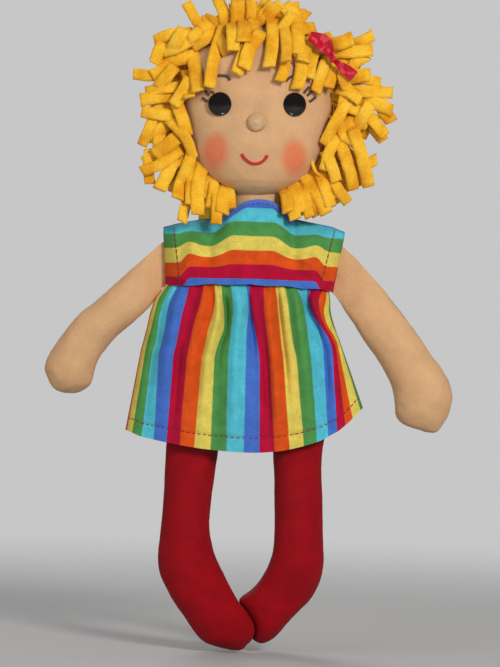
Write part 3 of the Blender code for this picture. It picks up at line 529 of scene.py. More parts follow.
def tube(name, around, along, place, material, texture=None):
    """A closed tube: place(u, v) goes round with u and along it with v, and its ends close."""
    return weld(grid(name, around, along, place, material, texture))


def thread(name, lines, thickness, material):
    """Rounded thread along each line of points."""
    curve = bpy.data.curves.new(name, "CURVE")
    curve.dimensions = "3D"
    curve.bevel_depth = thickness / 2
    curve.bevel_resolution = 1
    curve.use_fill_caps = True
    for points in lines:
        line = curve.splines.new("POLY")
        line.points.add(len(points) - 1)
        for slot, point in zip(line.points, points):
            slot.co = (*point, 1)
    obj = bpy.data.objects.new(name, curve)
    bpy.context.scene.collection.objects.link(obj)
    pick(obj)
    bpy.ops.object.convert(target="MESH")
    name_it(obj, name, material)
    bpy.ops.object.shade_smooth()
    return obj


def stitch_lines(points, stitch, gap, dip):
    """Short stitches along a line of points, each with its ends drawn into the cloth by dip."""
    lines, walked, run = [], 0.0, []
    step = stitch / 4
    for start, end in zip(points, points[1:]):
        pieces = max(int(ceil((end - start).length / step)), 1)
        for i in range(pieces):
            spot = start.lerp(end, i / pieces)
            phase = walked % (stitch + gap)
            if phase < stitch:
                run.append((spot, phase / stitch))
            elif run:
                lines.append(run)
                run = []
            walked += (end - start).length / pieces
    if len(run) > 1:
        lines.append(run)
    return [[spot + dip * (2 * t - 1) ** 4 for spot, t in line] for line in lines if len(line) > 1]


# Materials


def new_material(name, roughness, sheen=0.0, specular=0.5):
    material = bpy.data.materials.new(name)
    material.use_nodes = True
    surface = material.node_tree.nodes["Principled BSDF"]
    surface.inputs["Specular IOR Level"].default_value = specular
    surface.inputs["Roughness"].default_value = roughness
    surface.inputs["Sheen Weight"].default_value = sheen
    return material, surface


def node(material, kind, inputs=None, **settings):
    made = material.node_tree.nodes.new("ShaderNode" + kind)
    for key, value in settings.items():
        setattr(made, key, value)
    for key, value in (inputs or {}).items():
        if isinstance(value, bpy.types.NodeSocket):
            material.node_tree.links.new(value, made.inputs[key])
        else:
            made.inputs[key].default_value = value
    return made


def link(material, output, socket):
    material.node_tree.links.new(output, socket)


def math(material, operation, first, second=0.0):
    made = node(material, "Math", {0: first, 1: second}, operation=operation)
    return made.outputs[0]


def clouds(material, scale, detail=3.0, vector=None):
    """Soft noise from 0 to 1 on the object's own coordinates."""
    vector = vector or node(material, "TexCoord").outputs["Object"]
    made = node(material, "TexNoise", {"Vector": vector, "Scale": scale, "Detail": detail})
    return made.outputs["Fac"]


def graded(material, value, stops):
    """A colour ramp with the given (place, colour) stops."""
    made = node(material, "ValToRGB", {"Fac": value})
    elements = made.color_ramp.elements
    while len(elements) < len(stops):
        elements.new(0.5)
    for element, (place, colour) in zip(elements, stops):
        element.position = place
        element.color = (*colour, 1)
    return made.outputs["Color"]


def blended(material, factor, first, second, how="MIX"):
    made = node(material, "Mix", data_type="RGBA", blend_type=how)
    for name, value in (("Factor", factor), ("A", first), ("B", second)):
        socket = next(s for s in made.inputs if s.name == name and s.enabled)
        if isinstance(value, bpy.types.NodeSocket):
            link(material, value, socket)
        elif name == "Factor":
            socket.default_value = value
        else:
            socket.default_value = (*value, 1)
    return next(s for s in made.outputs if s.enabled)


def weave(material, threads, vector=None):
    """The ups and downs of a plain weave, with threads per metre."""
    vector = vector or node(material, "TexCoord").outputs["Object"]
    parts = node(material, "SeparateXYZ", {"Vector": vector}).outputs
    turn = pi * threads
    across = math(material, "SINE", math(material, "MULTIPLY", parts["X"], turn))
    along = math(material, "SINE", math(material, "MULTIPLY", parts["Z"], turn))
    deep = math(material, "SINE", math(material, "MULTIPLY", parts["Y"], turn))
    crossing = math(material, "MULTIPLY", across, along)
    return math(material, "ADD", crossing, math(material, "MULTIPLY", deep, 0.5))


def bumped(material, surface, height, strength, distance):
    inputs = {"Height": height, "Strength": strength, "Distance": distance}
    made = node(material, "Bump", inputs)
    link(material, made.outputs["Normal"], surface.inputs["Normal"])


def shade(colour, factor):
    """A colour made lighter or darker by a factor."""
    return tuple(min(channel * factor, 1) for channel in colour)


def cotton(name, colour, threads=2400, uneven=0.08, roughness=0.85, sheen=0.08):
    """Plain woven cotton: a fine weave, slubs and slight unevenness of the dye."""
    material, surface = new_material(name, roughness, sheen, 0.2)
    dye = ((0.3, shade(colour, 1 - uneven)), (0.7, shade(colour, 1 + uneven)))
    mottle = graded(material, clouds(material, 90, 4), dye)
    fine = clouds(material, 1500, 2)
    slubs = graded(material, fine, ((0.35, shade(colour, 0.72)), (0.65, shade(colour, 1.25))))
    tinted = blended(material, 0.22, mottle, slubs)
    link(material, tinted, surface.inputs["Base Color"])
    height = math(material, "ADD", weave(material, threads), math(material, "MULTIPLY", fine, 1.5))
    bumped(material, surface, height, 0.35, 0.00012)
    return material


def face_cotton(colour, blush):
    """The face: cotton with mottled blush rubbed on both cheeks."""
    material = cotton("face_cotton", colour)
    surface = material.node_tree.nodes["Principled BSDF"]
    base = surface.inputs["Base Color"].links[0].from_socket
    spots = node(material, "TexCoord").outputs["Object"]
    rub = None
    for x, z in CHEEKS:
        centre = at(x, 0, z)
        shift = (-centre.x / BLUSH_WIDE, 0, -centre.z / BLUSH_HIGH)
        size = (1 / BLUSH_WIDE, 0, 1 / BLUSH_HIGH)
        inputs = {"Vector": spots, "Location": shift, "Scale": size}
        moved = node(material, "Mapping", inputs).outputs["Vector"]
        reach = node(material, "VectorMath", {0: moved}, operation="LENGTH").outputs["Value"]
        spot = graded(material, reach, ((0.5, (1, 1, 1)), (1.0, (0, 0, 0))))
        rub = spot if rub is None else blended(material, 1.0, rub, spot, "ADD")
    front = node(material, "SeparateXYZ", {"Vector": spots}).outputs["Y"]
    facing = math(material, "LESS_THAN", front, DOLL_Y)
    grain = graded(material, clouds(material, 1500, 4), ((0.36, (0.5,) * 3), (0.62, (1,) * 3)))
    strength = math(material, "MULTIPLY", math(material, "MULTIPLY", rub, grain), facing)
    strength = math(material, "MULTIPLY", strength, 1.05)
    link(material, blended(material, strength, base, blush), surface.inputs["Base Color"])
    return material


def striped_cotton(colours, edge=0.012):
    """The dress: six stripes in turn along the UV map's X, printed through a fine weave."""
    material, surface = new_material("striped_cotton", 0.85, 0.03, 0.15)
    parts = node(material, "SeparateXYZ", {"Vector": node(material, "UVMap").outputs["UV"]})
    wander = math(material, "MULTIPLY", math(material, "SUBTRACT", clouds(material, 60), 0.5), 0.10)
    place = math(material, "ADD", parts.outputs["X"], wander)
    share = math(material, "FRACT", math(material, "DIVIDE", place, 6.0))
    stops = []
    for i, colour in enumerate(colours):
        stops.append(((i + edge * 3) / 6 if i else 0, colour))
        stops.append(((i + 1 - edge * 3) / 6 if i < 5 else 1, colour))
    stripes = graded(material, share, stops)
    worn = graded(material, clouds(material, 140, 4), ((0.3, (0.86,) * 3), (0.7, (1.1,) * 3)))
    fine = graded(material, clouds(material, 1800, 2), ((0.3, (0.8,) * 3), (0.7, (1.16,) * 3)))
    tinted = blended(material, 1.0, stripes, worn, "MULTIPLY")
    tinted = blended(material, 1.0, tinted, fine, "MULTIPLY")
    link(material, tinted, surface.inputs["Base Color"])
    height = math(material, "ADD", weave(material, 2600), clouds(material, 1100, 2))
    bumped(material, surface, height, 0.3, 0.00012)
    return material


def fleece(name, colour, dark, light, roughness=0.95):
    """Thick felted fleece: matted fibres, a deeper tone in the hollows and a soft sheen."""
    material, surface = new_material(name, roughness, 0.35)
    surface.inputs["Sheen Roughness"].default_value = 0.4
    surface.inputs["Sheen Tint"].default_value = (*light, 1)
    broad = graded(material, clouds(material, 70, 3), ((0.35, dark), (0.55, colour), (0.8, light)))
    fine = graded(material, clouds(material, 1300, 5), ((0.32, (0.84,) * 3), (0.62, (1.1,) * 3)))
    tinted = blended(material, 1.0, broad, fine, "MULTIPLY")
    link(material, tinted, surface.inputs["Base Color"])
    matted = math(material, "ADD", clouds(material, 700, 5), clouds(material, 2400, 3))
    bumped(material, surface, matted, 0.6, 0.00025)
    return material


def satin(name, colour):
    """Woven satin: smooth, with fine lengthwise threads and pale pink painted highlights in soft
    random patches.
    """
    material, surface = new_material(name, 0.24, 0.0, 0.6)
    spots = node(material, "UVMap").outputs["UV"]
    lines = node(material, "Mapping", {"Vector": spots, "Scale": (90, 6, 1)}).outputs["Vector"]
    threads = clouds(material, 1.0, 2, lines)
    tones = graded(material, threads, ((0.3, shade(colour, 0.75)), (0.7, shade(colour, 1.2))))
    # Painted highlight: pale pink patches on soft noise, mixed into the colour in place of the
    # satin's shine
    folds = clouds(material, 230, 1)
    painted_highlight = graded(material, folds, ((0.54, (0,) * 3), (0.66, (1,) * 3)))
    painted_highlight = math(material, "MULTIPLY", painted_highlight, 0.5)
    highlighted_tones = blended(material, painted_highlight, tones, (0.9, 0.1, 0.14))
    link(material, highlighted_tones, surface.inputs["Base Color"])
    creases = math(material, "ADD", threads, clouds(material, 260, 2))
    bumped(material, surface, creases, 0.5, 0.0005)
    return material


def sewing_thread(name, colour):
    """Twisted thread, with its plies as slanting ridges."""
    material, surface = new_material(name, 0.7, 0.2)
    spots = node(material, "TexCoord").outputs["Object"]
    plies = node(material, "TexWave", {"Vector": spots, "Scale": 900.0, "Distortion": 2.0})
    tones = graded(
        material, plies.outputs["Fac"], ((0.1, shade(colour, 0.7)), (0.8, shade(colour, 1.15))))
    link(material, tones, surface.inputs["Base Color"])
    bumped(material, surface, plies.outputs["Fac"], 0.4, 0.0001)
    return material


def plastic(name, colour, roughness, coat):
    """Moulded plastic with faint handling marks under its gloss."""
    material, surface = new_material(name, roughness)
    surface.inputs["Coat Weight"].default_value = coat
    surface.inputs["Coat Roughness"].default_value = 0.06
    marks = clouds(material, 400, 4)
    tones = graded(material, marks, ((0.3, shade(colour, 0.85)), (0.7, shade(colour, 1.12))))
    link(material, tones, surface.inputs["Base Color"])
    rough = graded(material, marks, ((0.4, (roughness * 0.8,) * 3), (0.7, (roughness * 1.6,) * 3)))
    link(material, rough, surface.inputs["Roughness"])
    bumped(material, surface, marks, 0.05, 0.0001)
    return material


def pile_tape(name, colour):
    """Hook and loop tape: a dense pile of small loops."""
    material, surface = new_material(name, 0.9, 0.4)
    spots = node(material, "TexCoord").outputs["Object"]
    cells = node(material, "TexVoronoi", {"Vector": spots, "Scale": 1400.0})
    tones = graded(
        material, cells.outputs["Distance"], ((0.0, colour), (0.8, shade(colour, 0.6))))
    link(material, tones, surface.inputs["Base Color"])
    bumped(material, surface, cells.outputs["Distance"], 0.8, 0.0004)
    return material


STRIPES = (
    "stripe_crimson",
    "stripe_orange",
    "stripe_yellow",
    "stripe_green",
    "stripe_turquoise",
    "stripe_blue",
)
# The materials made so far, by kind
MATERIALS = {}


def material_of(kind):
    """The material of that kind, made from the colours in the sidebar when first asked for."""
    if kind in MATERIALS:
        return MATERIALS[kind]
    look = bpy.context.scene.doll_colours
    skin, gold = tuple(look.skin), tuple(look.hair)
    makers = {
        "skin": lambda: cotton("skin_cotton", skin),
        "face": lambda: face_cotton(skin, tuple(look.blush)),
        "leg": lambda: cotton("leg_cotton", tuple(look.legs), uneven=0.15, sheen=0.02),
        "stripes": lambda: striped_cotton([tuple(getattr(look, c)) for c in STRIPES]),
        "binding": lambda: cotton("binding_cotton", tuple(look.stripe_blue), uneven=0.12),
        "hair": lambda: fleece("fleece", gold, tuple(look.hair_deep), tuple(look.hair_light)),
        "fuzz": lambda: fleece("fleece_fuzz", tuple(look.hair_light), gold, tuple(look.hair_light)),
        "ribbon": lambda: satin("ribbon_satin", tuple(look.ribbon)),
        "dress_thread": lambda: sewing_thread("dress_thread", tuple(look.dress_thread)),
        "mouth_thread": lambda: sewing_thread("mouth_thread", tuple(look.mouth)),
        "brow_thread": lambda: sewing_thread("brow_thread", tuple(look.brows)),
        "eye": lambda: plastic("eye_plastic", tuple(look.eyes), 0.2, 0.1),
        "nose": lambda: plastic("nose_plastic", tuple(look.nose), 0.4, 0.1),
        "tape": lambda: pile_tape("fastener_tape", (0.9, 0.9, 0.88)),
    }
    MATERIALS[kind] = makers[kind]()
    return MATERIALS[kind]


# Body


def torso_place(u, v):
    """A point round the torso, inside its table and drawn in further where the neck begins."""
    z, half_width, half_depth = read(TORSO_ROWS, (len(TORSO_ROWS) - 1) * v)
    angle = tau * u
    inset = TORSO_SLACK + 9 * bump(z - 42, 6)
    wide = max(half_width - inset, 0.5)
    deep = max(half_depth - inset, 0.4)
    return at(wide * cos(angle), -deep * sin(angle), z)


def neck_place(u, v):
    """A point round the neck, with faint upright creases."""
    angle = tau * u
    z, wide, deep = read(NECK_ROWS, v * (len(NECK_ROWS) - 1))
    crease = 0.25 * sin(9 * angle) * sin(pi * v)
    return at((wide + crease) * cos(angle), -(deep + crease) * sin(angle), z)


def build_torso():
    torso = tube("torso_cloth", 48, 66, torso_place, material_of("skin"))
    soften(torso)
    rumple(torso, 0.5 * MM, 0.012, 3)
    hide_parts("torso_skin", "torso_filling")
    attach(torso, "torso")
    neck = tube("neck_cloth", 48, 24, neck_place, material_of("skin"))
    thicken(neck, 1.0 * MM, -1)
    soften(neck)
    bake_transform(neck)


def limb_rings(rows):
    """A limb's table as rings: middle, half axis between its edges, half depth."""
    return [
        ((a + c) / 2, (b + d) / 2, (a - c) / 2, (b - d) / 2, depth / 2)
        for a, b, c, d, depth in rows
    ]


def limb_place(rings, u, v, pinch, count):
    """A point on a stuffed limb; the seams run along its two edges and its root is sewn flat."""
    out, down, side_x, side_z, deep = read(rings, (len(rings) - 1) * v)
    angle = tau * u
    plump = abs(sin(angle)) ** 0.92 * (1 if sin(angle) > 0 else -1)
    gather = pinch * exp(-v * 16) * min(v * 40, 1) * sin(count * angle)
    seam = 1 - 0.02 * exp(-((sin(angle) / 0.12) ** 2)) * min(v * 8, 1)
    return (
        out + side_x * cos(angle) * seam,
        -(max(deep, 0) + gather) * plump,
        down + side_z * cos(angle) * seam,
    )


def build_arm(name, rows, side):
    rings = limb_rings(rows)

    def place(u, v):
        out, y, down = limb_place(rings, u, v, 1.0, 9)
        return at(side * (ARM_X + out), y, ARM_Z - down)

    arm = tube(name + "_cloth", 44, 60, place, material_of("skin"))
    soften(arm)
    rumple(arm, 0.55 * MM, 0.016, 5 + side)
    rumple(arm, 0.12 * MM, 0.005, 9 + side)
    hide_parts(name + "_skin", name + "_filling", name + "_seam")
    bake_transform(arm)


def build_leg(name, rows, side):
    rings = limb_rings([(outer, drop, inner, drop, depth) for drop, outer, inner, depth in rows])
    back, start, over = RIGHT_FOOT_BACK

    def place(u, v):
        out, y, down = limb_place(rings, u, v, 0.8, 11)
        tucked = back * smooth((down - start) / over) if side > 0 else 0
        return at(side * out, y + tucked, HIP_Z - down)

    leg = tube(name + "_cloth", 48, 72, place, material_of("leg"))
    soften(leg)
    rumple(leg, 0.4 * MM, 0.022, 15 + side)
    rumple(leg, 0.12 * MM, 0.006, 19 + side)
    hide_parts(name + "_skin", name + "_filling", name + "_seam")
    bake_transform(leg)


# Head and face


def drawn_in(x, z, y):
    """The face's depth y at x and z, drawn in by the eyes and the nose."""
    for (spot_x, spot_z), depth, reach in DIMPLES:
        y += depth * bump(sqrt((x - spot_x) ** 2 + (z - spot_z) ** 2), reach)
    return y


def head_place(u, v):
    """A point of the head's cloth, drawn in round the eyes, the nose and the mouth."""
    share = 0.5 - 0.5 * cos(pi * v)
    z = mix(HEAD_BOTTOM, HEAD_TOP, share)
    half_width, half_depth = head_half(z)
    if share <= 0 or share >= 1:
        half_width = half_depth = 0.01
    angle = tau * u
    x = half_width * cos(angle)
    y = -half_depth * sin(angle)
    if y < 0:
        depth, low, rise, high, wide = SMILE
        y = drawn_in(x, z, y) + depth * bump(z - (low + rise * x * x), high) * bump(x, wide)
    return at(x, y, z)


def build_head():
    head = tube("head_cloth", 96, 72, head_place, material_of("face"))
    soften(head)
    rumple(head, 0.45 * MM, 0.018, 31)
    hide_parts("head_skin", "head_filling")
    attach(head, "head")


def on_face(x, z, lift):
    """The point lift millimetres off the face's cloth at x and z."""
    return Vector((x, drawn_in(x, z, head_front(x, z, 0)) - lift, z))


def face_normal(x, z):
    """Which way the face's cloth looks at x and z, without the dimples."""
    step = 1.5
    right = Vector((2 * step, head_front(x + step, z, 0) - head_front(x - step, z, 0), 0))
    up = Vector((0, head_front(x, z + step, 0) - head_front(x, z - step, 0), 2 * step))
    return right.cross(up).normalized()


def turned(name, profile, sides, spot, normal, material):
    """A round piece turned from (radius, height) steps, standing on spot along normal."""
    last = len(profile) - 1

    def place(u, v):
        radius, height = profile[round(v * last)]
        angle = tau * u
        return Vector((radius * cos(angle), radius * sin(angle), height)) * MM

    piece = tube(name, sides, last, place, material)
    turn = normal.to_track_quat("Z", "Y").to_matrix().to_4x4()
    piece.data.transform(Matrix.Translation(at(*spot)) @ turn)
    pick(piece)
    bpy.ops.object.shade_smooth()
    return piece


def dome(width, height, rim, steps=12):
    """Outline of a domed button: flat back, rounded rim, dome."""
    radius = width / 2
    outline = [(0.001, 0), (radius * 0.8, 0), (radius * 0.97, rim * 0.15), (radius, rim * 0.55)]
    for i in range(steps + 1):
        angle = (pi / 2) * i / steps
        outline.append((max(radius * 0.985 * cos(angle), 0.001), rim + height * sin(angle)))
    return outline


def build_buttons(eye_width, nose_width):
    outline = dome(eye_width / MM, 3.0, 1.1)
    for name, (x, z) in zip(("eye_left", "eye_right"), EYES):
        spot = on_face(x, z, 0.5)
        normal = (face_normal(x, z) + Vector((0, -1.2, 0))).normalized()
        button = turned(name + "_button", outline, 48, spot, normal, material_of("eye"))
        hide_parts(name)
        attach(button, "head")
    outline = dome(nose_width / MM, 4.6, 0.9)
    spot, normal = on_face(*NOSE, -0.2), face_normal(*NOSE)
    nose = turned("nose_bead", outline, 40, spot, normal, material_of("nose"))
    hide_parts("nose")
    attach(nose, "head")


def face_line(points, lift, steps=8):
    """A smooth line over the face through (x, z) points."""
    line = []
    for i in range((len(points) - 1) * steps + 1):
        x, z = read(points, i / steps)
        line.append(at(*on_face(x, z, lift)))
    return line


# Lines sewn on the face, by their places across and up
MOUTH = (
    (-8.9, 82.6),
    (-7.8, 80.6),
    (-4.8, 77.9),
    (-0.8, 76.4),
    (3.6, 77.4),
    (6.4, 79.8),
    (7.6, 82.1),
)
LEFT_BROW = ((-28.0, 132.7), (-24.0, 132.8), (-19.9, 132.1), (-17.7, 129.7))
RIGHT_BROW = ((18.3, 130.2), (20.2, 132.2), (22.0, 133.4), (26, 134.2))
LASHES = (
    ((33.3, 127.2), (31.6, 125.2), (30.1, 123.2)),
    ((35.7, 124.6), (34.0, 123.2), (32.3, 121.8)),
    ((37.6, 120.8), (35.8, 119.2), (34.0, 117.8)),
    ((-33.7, 122.8), (-32.4, 121.3), (-30.9, 120.0)),
    ((-35.3, 118.5), (-33.8, 117.2), (-32.1, 116.0)),
    ((-29.8, 122.4), (-28.9, 122.0), (-28.0, 121.9)),
)


def build_face_lines():
    pieces = (
        ("mouth_stitch", (MOUTH,), 2.0, "mouth_thread", "mouth"),
        ("brow_left_stitch", (LEFT_BROW,) + LASHES[3:], 1.8, "brow_thread", "brow_left"),
        ("brow_right_stitch", (RIGHT_BROW,) + LASHES[:3], 1.8, "brow_thread", "brow_right"),
    )
    for name, lines, width, material, cad_node in pieces:
        placed = [face_line(line, 0.35) for line in lines]
        stitch = thread(name, placed, width * MM, material_of(material))
        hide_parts(cad_node)
        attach(stitch, "head")


# Hair


# How much of a strip's root runs on under the strips before it
HIDDEN_ROOT = 5.0


def strip_template(material):
    """One hair strip as a small flat grid: two faces wide, six long."""
    return grid("strip_template", 2, 6, lambda u, v: Vector((u, v, 0)), material)


def hair_strip(template, root, tip, lift, facing, roll, width, curl, kink):
    """A copy of the template laid along a bowed line from root to tip, in millimetres."""
    strip = template.copy()
    strip.data = template.data.copy()
    bpy.context.scene.collection.objects.link(strip)
    along = (tip - root).normalized()
    root = root - along * HIDDEN_ROOT
    up = (facing - along * facing.dot(along)).normalized()
    side = along.cross(up)
    sway = (roll[0] * 7.0 + roll[1] * 3.0) * 0.6
    for point in strip.data.vertices:
        u, v = point.co.x - 0.5, point.co.y
        angle = roll[0] + roll[1] * (v - 0.4)
        across = side * cos(angle) + up * sin(angle)
        bow = up * lift * sin(pi * min(v * 1.1, 1)) - up * curl * v * v * 4
        bent = kink * max(1 - abs(v - 0.55) / 0.5, 0)
        cup = up * (0.5 - 4 * u * u) * 0.5 + side * (sway * sin(pi * v) + bent)
        spot = root.lerp(tip, v) + bow + cup + across * u * width
        point.co = at(*spot)
    return strip


def join(parts, name):
    deselect()
    for part in parts:
        part.select_set(True)
    bpy.context.view_layer.objects.active = parts[0]
    bpy.ops.object.join()
    obj = bpy.context.object
    obj.name = obj.data.name = name
    return obj


def finish_hair(parts, name, cad_nodes, thickness):
    hair = join(parts, name)
    creases = {"edge_crease_inner": 0.75, "edge_crease_outer": 0.75, "edge_crease_rim": 0.6}
    apply(hair, "SOLIDIFY", thickness=thickness, offset=0.0, **creases)
    soften(hair)
    rumple(hair, 0.35 * MM, 0.004, len(parts))
    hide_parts(*cad_nodes)
    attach(hair, "head")
    return hair


def tip_clear(x, z, y):
    """The depth y of a tip at x and z, brought forward where it hangs in front of the dress."""
    if z >= CLEAR_FROM:
        return y
    nearest = NECKLINE_Y if abs(x) < NECKLINE_HALF else SHOULDER_Y
    return min(y, nearest - CLEAR_SLOPE * (CLEAR_FROM - z))


def front_strips(template, table, width, seed):
    """Strips in view from the front, from their table; layers lie over one another."""
    rng = Random(seed)
    strips = []
    for x0, z0, x1, z1, lift, layer in table:
        level = LAYER_FIRST + LAYER_STEP * layer
        root_y = head_front(x0, z0) - level + rng.uniform(-0.6, 0.6)
        tip_y = head_front(x1, z1) - level + rng.uniform(-2.5, 1.0)
        if head_front(x1, z1) > head_front(x0, z0) + 8:
            tip_y = min(tip_y, root_y + rng.uniform(2, 10))
        tip_y = tip_clear(x1, z1, tip_y)
        if z1 < JAW_TIP and z0 < JAW_ROOT and abs(x0) < JAW_HALF:
            root_y, z0 = rng.uniform(-11, -7), z0 + 1.5
        root, tip = Vector((x0, root_y, z0)), Vector((x1, tip_y, z1))
        roll = (rng.uniform(-0.22, 0.22), rng.uniform(-0.35, 0.35))
        strips.append(
            hair_strip(template, root, tip, lift * 0.8, Vector((0, -1, 0)), roll,
                       width * rng.uniform(0.85, 1.15), curl_of(rng), kink_of(rng, 2.6)))
    return strips


def curl_of(rng):
    """How far a strip's tip curls; one in eight curls up strongly."""
    return -1.6 if rng.random() < 0.12 else rng.uniform(-0.6, 0.9)


def kink_of(rng, most):
    """How far a strip's middle is bent sideways; two in five are nearly straight."""
    return rng.uniform(-most, most) if rng.random() < 0.6 else rng.uniform(-0.5, 0.5)


def ring_share(azimuth):
    """The rings are shorter near the top on both sides of the three standing strips."""
    return 1 - 0.45 * bump(azimuth - radians(62), 0.3) - 0.3 * bump(azimuth - radians(118), 0.25)


def ring_strips(template, polar, count, first, last, reach, width, seed):
    """A row of strips round the head at an angle from straight ahead, standing out from it."""
    rng = Random(seed)
    strips = []
    for i in range(count):
        azimuth = radians(mix(first, last, (i + 0.5) / count) + rng.uniform(-3, 3))
        angle = radians(polar + rng.uniform(-4, 4))
        way = Vector((cos(azimuth) * sin(angle), -cos(angle), sin(azimuth) * sin(angle)))
        base = Vector((0, 0, HEAD_MIDDLE)) + way * RING_HALF
        if base.z > RING_TOP:
            base.z = RING_TOP + (base.z - RING_TOP) * 0.9
        out = Vector((cos(azimuth), -0.1 + rng.uniform(-0.25, 0.25), sin(azimuth)))
        length = reach * rng.uniform(0.72, 1.0) * ring_share(azimuth)
        tip = base + out * length - Vector((0, 0, 7 * (length / reach) ** 2))
        roll = (rng.uniform(-0.5, 0.5) + pi / 2 * (rng.random() < 0.3), rng.uniform(-0.8, 0.8))
        facing = Vector((0, -1 if polar < 97 else 1, 0.3))
        strips.append(
            hair_strip(template, base, tip, rng.uniform(1, 5), facing, roll,
                       width * rng.uniform(0.9, 1.1), rng.uniform(-0.5, 0.8), kink_of(rng, 3.5)))
    return strips


def lying_strips(template, polar, count, width, seed):
    """A row of strips lying down over the sides and the back of the head."""
    rng = Random(seed)
    strips = []
    for i in range(count):
        azimuth = radians(mix(*LYING_ENDS, (i + rng.uniform(0.2, 0.8)) / count))
        angle = radians(polar + rng.uniform(-5, 5))
        z = HEAD_MIDDLE + RING_HALF.z * sin(azimuth) * sin(angle)
        half_width, half_depth = head_half(z)
        way = Vector((cos(azimuth) * sin(angle), -cos(angle))).normalized()
        base = Vector((half_width * way.x, half_depth * way.y, z))
        out = Vector((base.x / HEAD_HALF[0] ** 2, base.y / HEAD_HALF[1] ** 2, 0))
        out.z = (z - HEAD_MIDDLE) / (HEAD_TOP - HEAD_MIDDLE) ** 2
        out.normalize()
        hang = Vector((out.x * 0.5 + rng.uniform(-0.3, 0.3), 0.4 + rng.uniform(-0.4, 0.4), -1))
        hang = (hang - out * hang.dot(out)).normalized() + out * rng.uniform(0.25, 0.55)
        base += out * 1.6
        tip = base + hang.normalized() * rng.uniform(21, 29)
        roll = (rng.uniform(-0.3, 0.3), rng.uniform(-0.6, 0.6))
        strips.append(
            hair_strip(template, base, tip, rng.uniform(0.5, 2.5), out, roll,
                       width * rng.uniform(0.9, 1.1), rng.uniform(-0.5, 0.5), kink_of(rng, 2.0)))
    return strips


def back_strips(template, tier, width, seed):
    """A row of strips hanging down the back of the head."""
    rng = Random(seed)
    top = BACK_TOP - BACK_STEP * tier
    reach = head_half(top)[0] * BACK_SHARES[tier]
    count = round(2 * reach / (width * 0.98))
    strips = []
    for i in range(count):
        x = mix(-reach, reach, (i + 0.5) / count)
        z = top + rng.uniform(-3, 3)
        low = z - BACK_LENGTH * rng.uniform(0.85, 1.08)
        at_root = -head_front(x, z, 0)
        at_tip = -head_front(x, max(low, NAPE), 0)
        root = Vector((x, at_root + 2.2, z))
        tip_x = x * 1.05 + rng.uniform(-5, 5)
        tip = Vector((tip_x, max(at_tip, at_root) + 8.5 + rng.uniform(-2, 2), low))
        roll = (rng.uniform(-0.3, 0.3), rng.uniform(-0.5, 0.5))
        strips.append(
            hair_strip(template, root, tip, rng.uniform(1, 3), Vector((0, 1, 0)), roll,
                       width * rng.uniform(0.95, 1.15), rng.uniform(-0.5, 0.5), kink_of(rng, 3.0)))
    return strips


def hair_groups(template, width):
    """Each group of strips: its name, the solids that it stands for and its strips."""
    for name, cad_nodes, table, seed in VIEW_GROUPS:
        yield name, cad_nodes, front_strips(template, table, width, seed)
    for name, cad_nodes, polar, count, first, last, reach, seed in RINGS:
        strips = ring_strips(template, polar, count, first, last, reach, width, seed)
        yield name, cad_nodes, strips
    for row, (polar, count, seed) in enumerate(LYING_ROWS, 1):
        yield f"hair_lying_{row}", (), lying_strips(template, polar, count, width, seed)
    for tier in range(len(BACK_SHARES)):
        cad_nodes = (f"hair_tier_{tier + 1}",) if tier < CAD_TIERS else ()
        yield f"hair_back_{tier + 1}", cad_nodes, back_strips(template, tier, width, 20 + tier)


def build_hair(width, thickness):
    template = strip_template(material_of("hair"))
    made = [
        finish_hair(strips, name, cad_nodes, thickness)
        for name, cad_nodes, strips in hair_groups(template, width / MM)
    ]
    bpy.data.objects.remove(template)
    return made


def build_cap():
    """The fleece cap that the strips are sewn to, over the top and the back of the head."""

    def place(u, v):
        angle = radians(mix(-18, 198, u))
        z = mix(66, HEAD_TOP - 0.3, 0.5 - 0.5 * cos(pi * v))
        half_width, half_depth = head_half(z)
        front = smooth((z - 148) / 14)
        angle = mix(angle, radians(mix(-70, 250, u)), front)
        return at((half_width + 1.6) * cos(angle), (half_depth + 1.6) * sin(angle), z + 1.2 * v)

    cap = grid("hair_cap_cloth", 60, 40, place, material_of("hair"))
    thicken(cap, 1.2 * MM)
    soften(cap)
    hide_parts("hair_cap")
    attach(cap, "head")


def build_fuzz(strips, length, share=0.5):
    """Loose fibres standing off a share of the fleece's faces, each one thin triangle."""
    rng = Random(77)
    mesh = bpy.data.meshes.new("hair_fuzz")
    shape = bmesh.new()
    for hair in strips:
        for face in hair.data.polygons:
            if rng.random() > share:
                continue
            corners = [hair.data.vertices[i].co for i in face.vertices]
            spot = corners[0].lerp(corners[1], rng.random()).lerp(
                corners[-2].lerp(corners[-1], rng.random()), rng.random())
            sway = Vector((rng.gauss(0, 1), rng.gauss(0, 1), rng.gauss(0, 1)))
            way = (face.normal + sway * 0.7).normalized()
            side = way.orthogonal().normalized() * 0.05 * MM
            tip = spot + way * length * rng.uniform(0.5, 1.2)
            points = [shape.verts.new(p) for p in (spot - side, spot + side, tip)]
            shape.faces.new(points)
    shape.to_mesh(mesh)
    shape.free()
    fuzz = bpy.data.objects.new("hair_fuzz", mesh)
    bpy.context.scene.collection.objects.link(fuzz)
    mesh.materials.append(material_of("fuzz"))
    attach(fuzz, "head")


# Bow

KNOT = Vector((48.3, -25.5, 145.8))
KNOT_ALONG = Vector((-0.69, 0, 0.72))
KNOT_ACROSS = Vector((0.72, 0, 0.69))
KNOT_LENGTH = 4.6
KNOT_HALF = (1.9, 2.1)
# Each ribbon's middle line, from the knot outwards
LOOP_LINE = ((0, 0, 0), (-3.2, -1.5, 5.8), (-8.5, -3.5, 11.2), (-15.8, -3, 14.4))
TAIL_LINE = ((0, 0, 0), (4, -1.5, -3.5), (9, -2.5, -7.2), (14, -1.5, -11))
RIBBON_ENDS = (
    ("bow_loop_satin", "bow_loop", LOOP_LINE, True),
    ("bow_tail_satin", "bow_tail", TAIL_LINE, False),
)


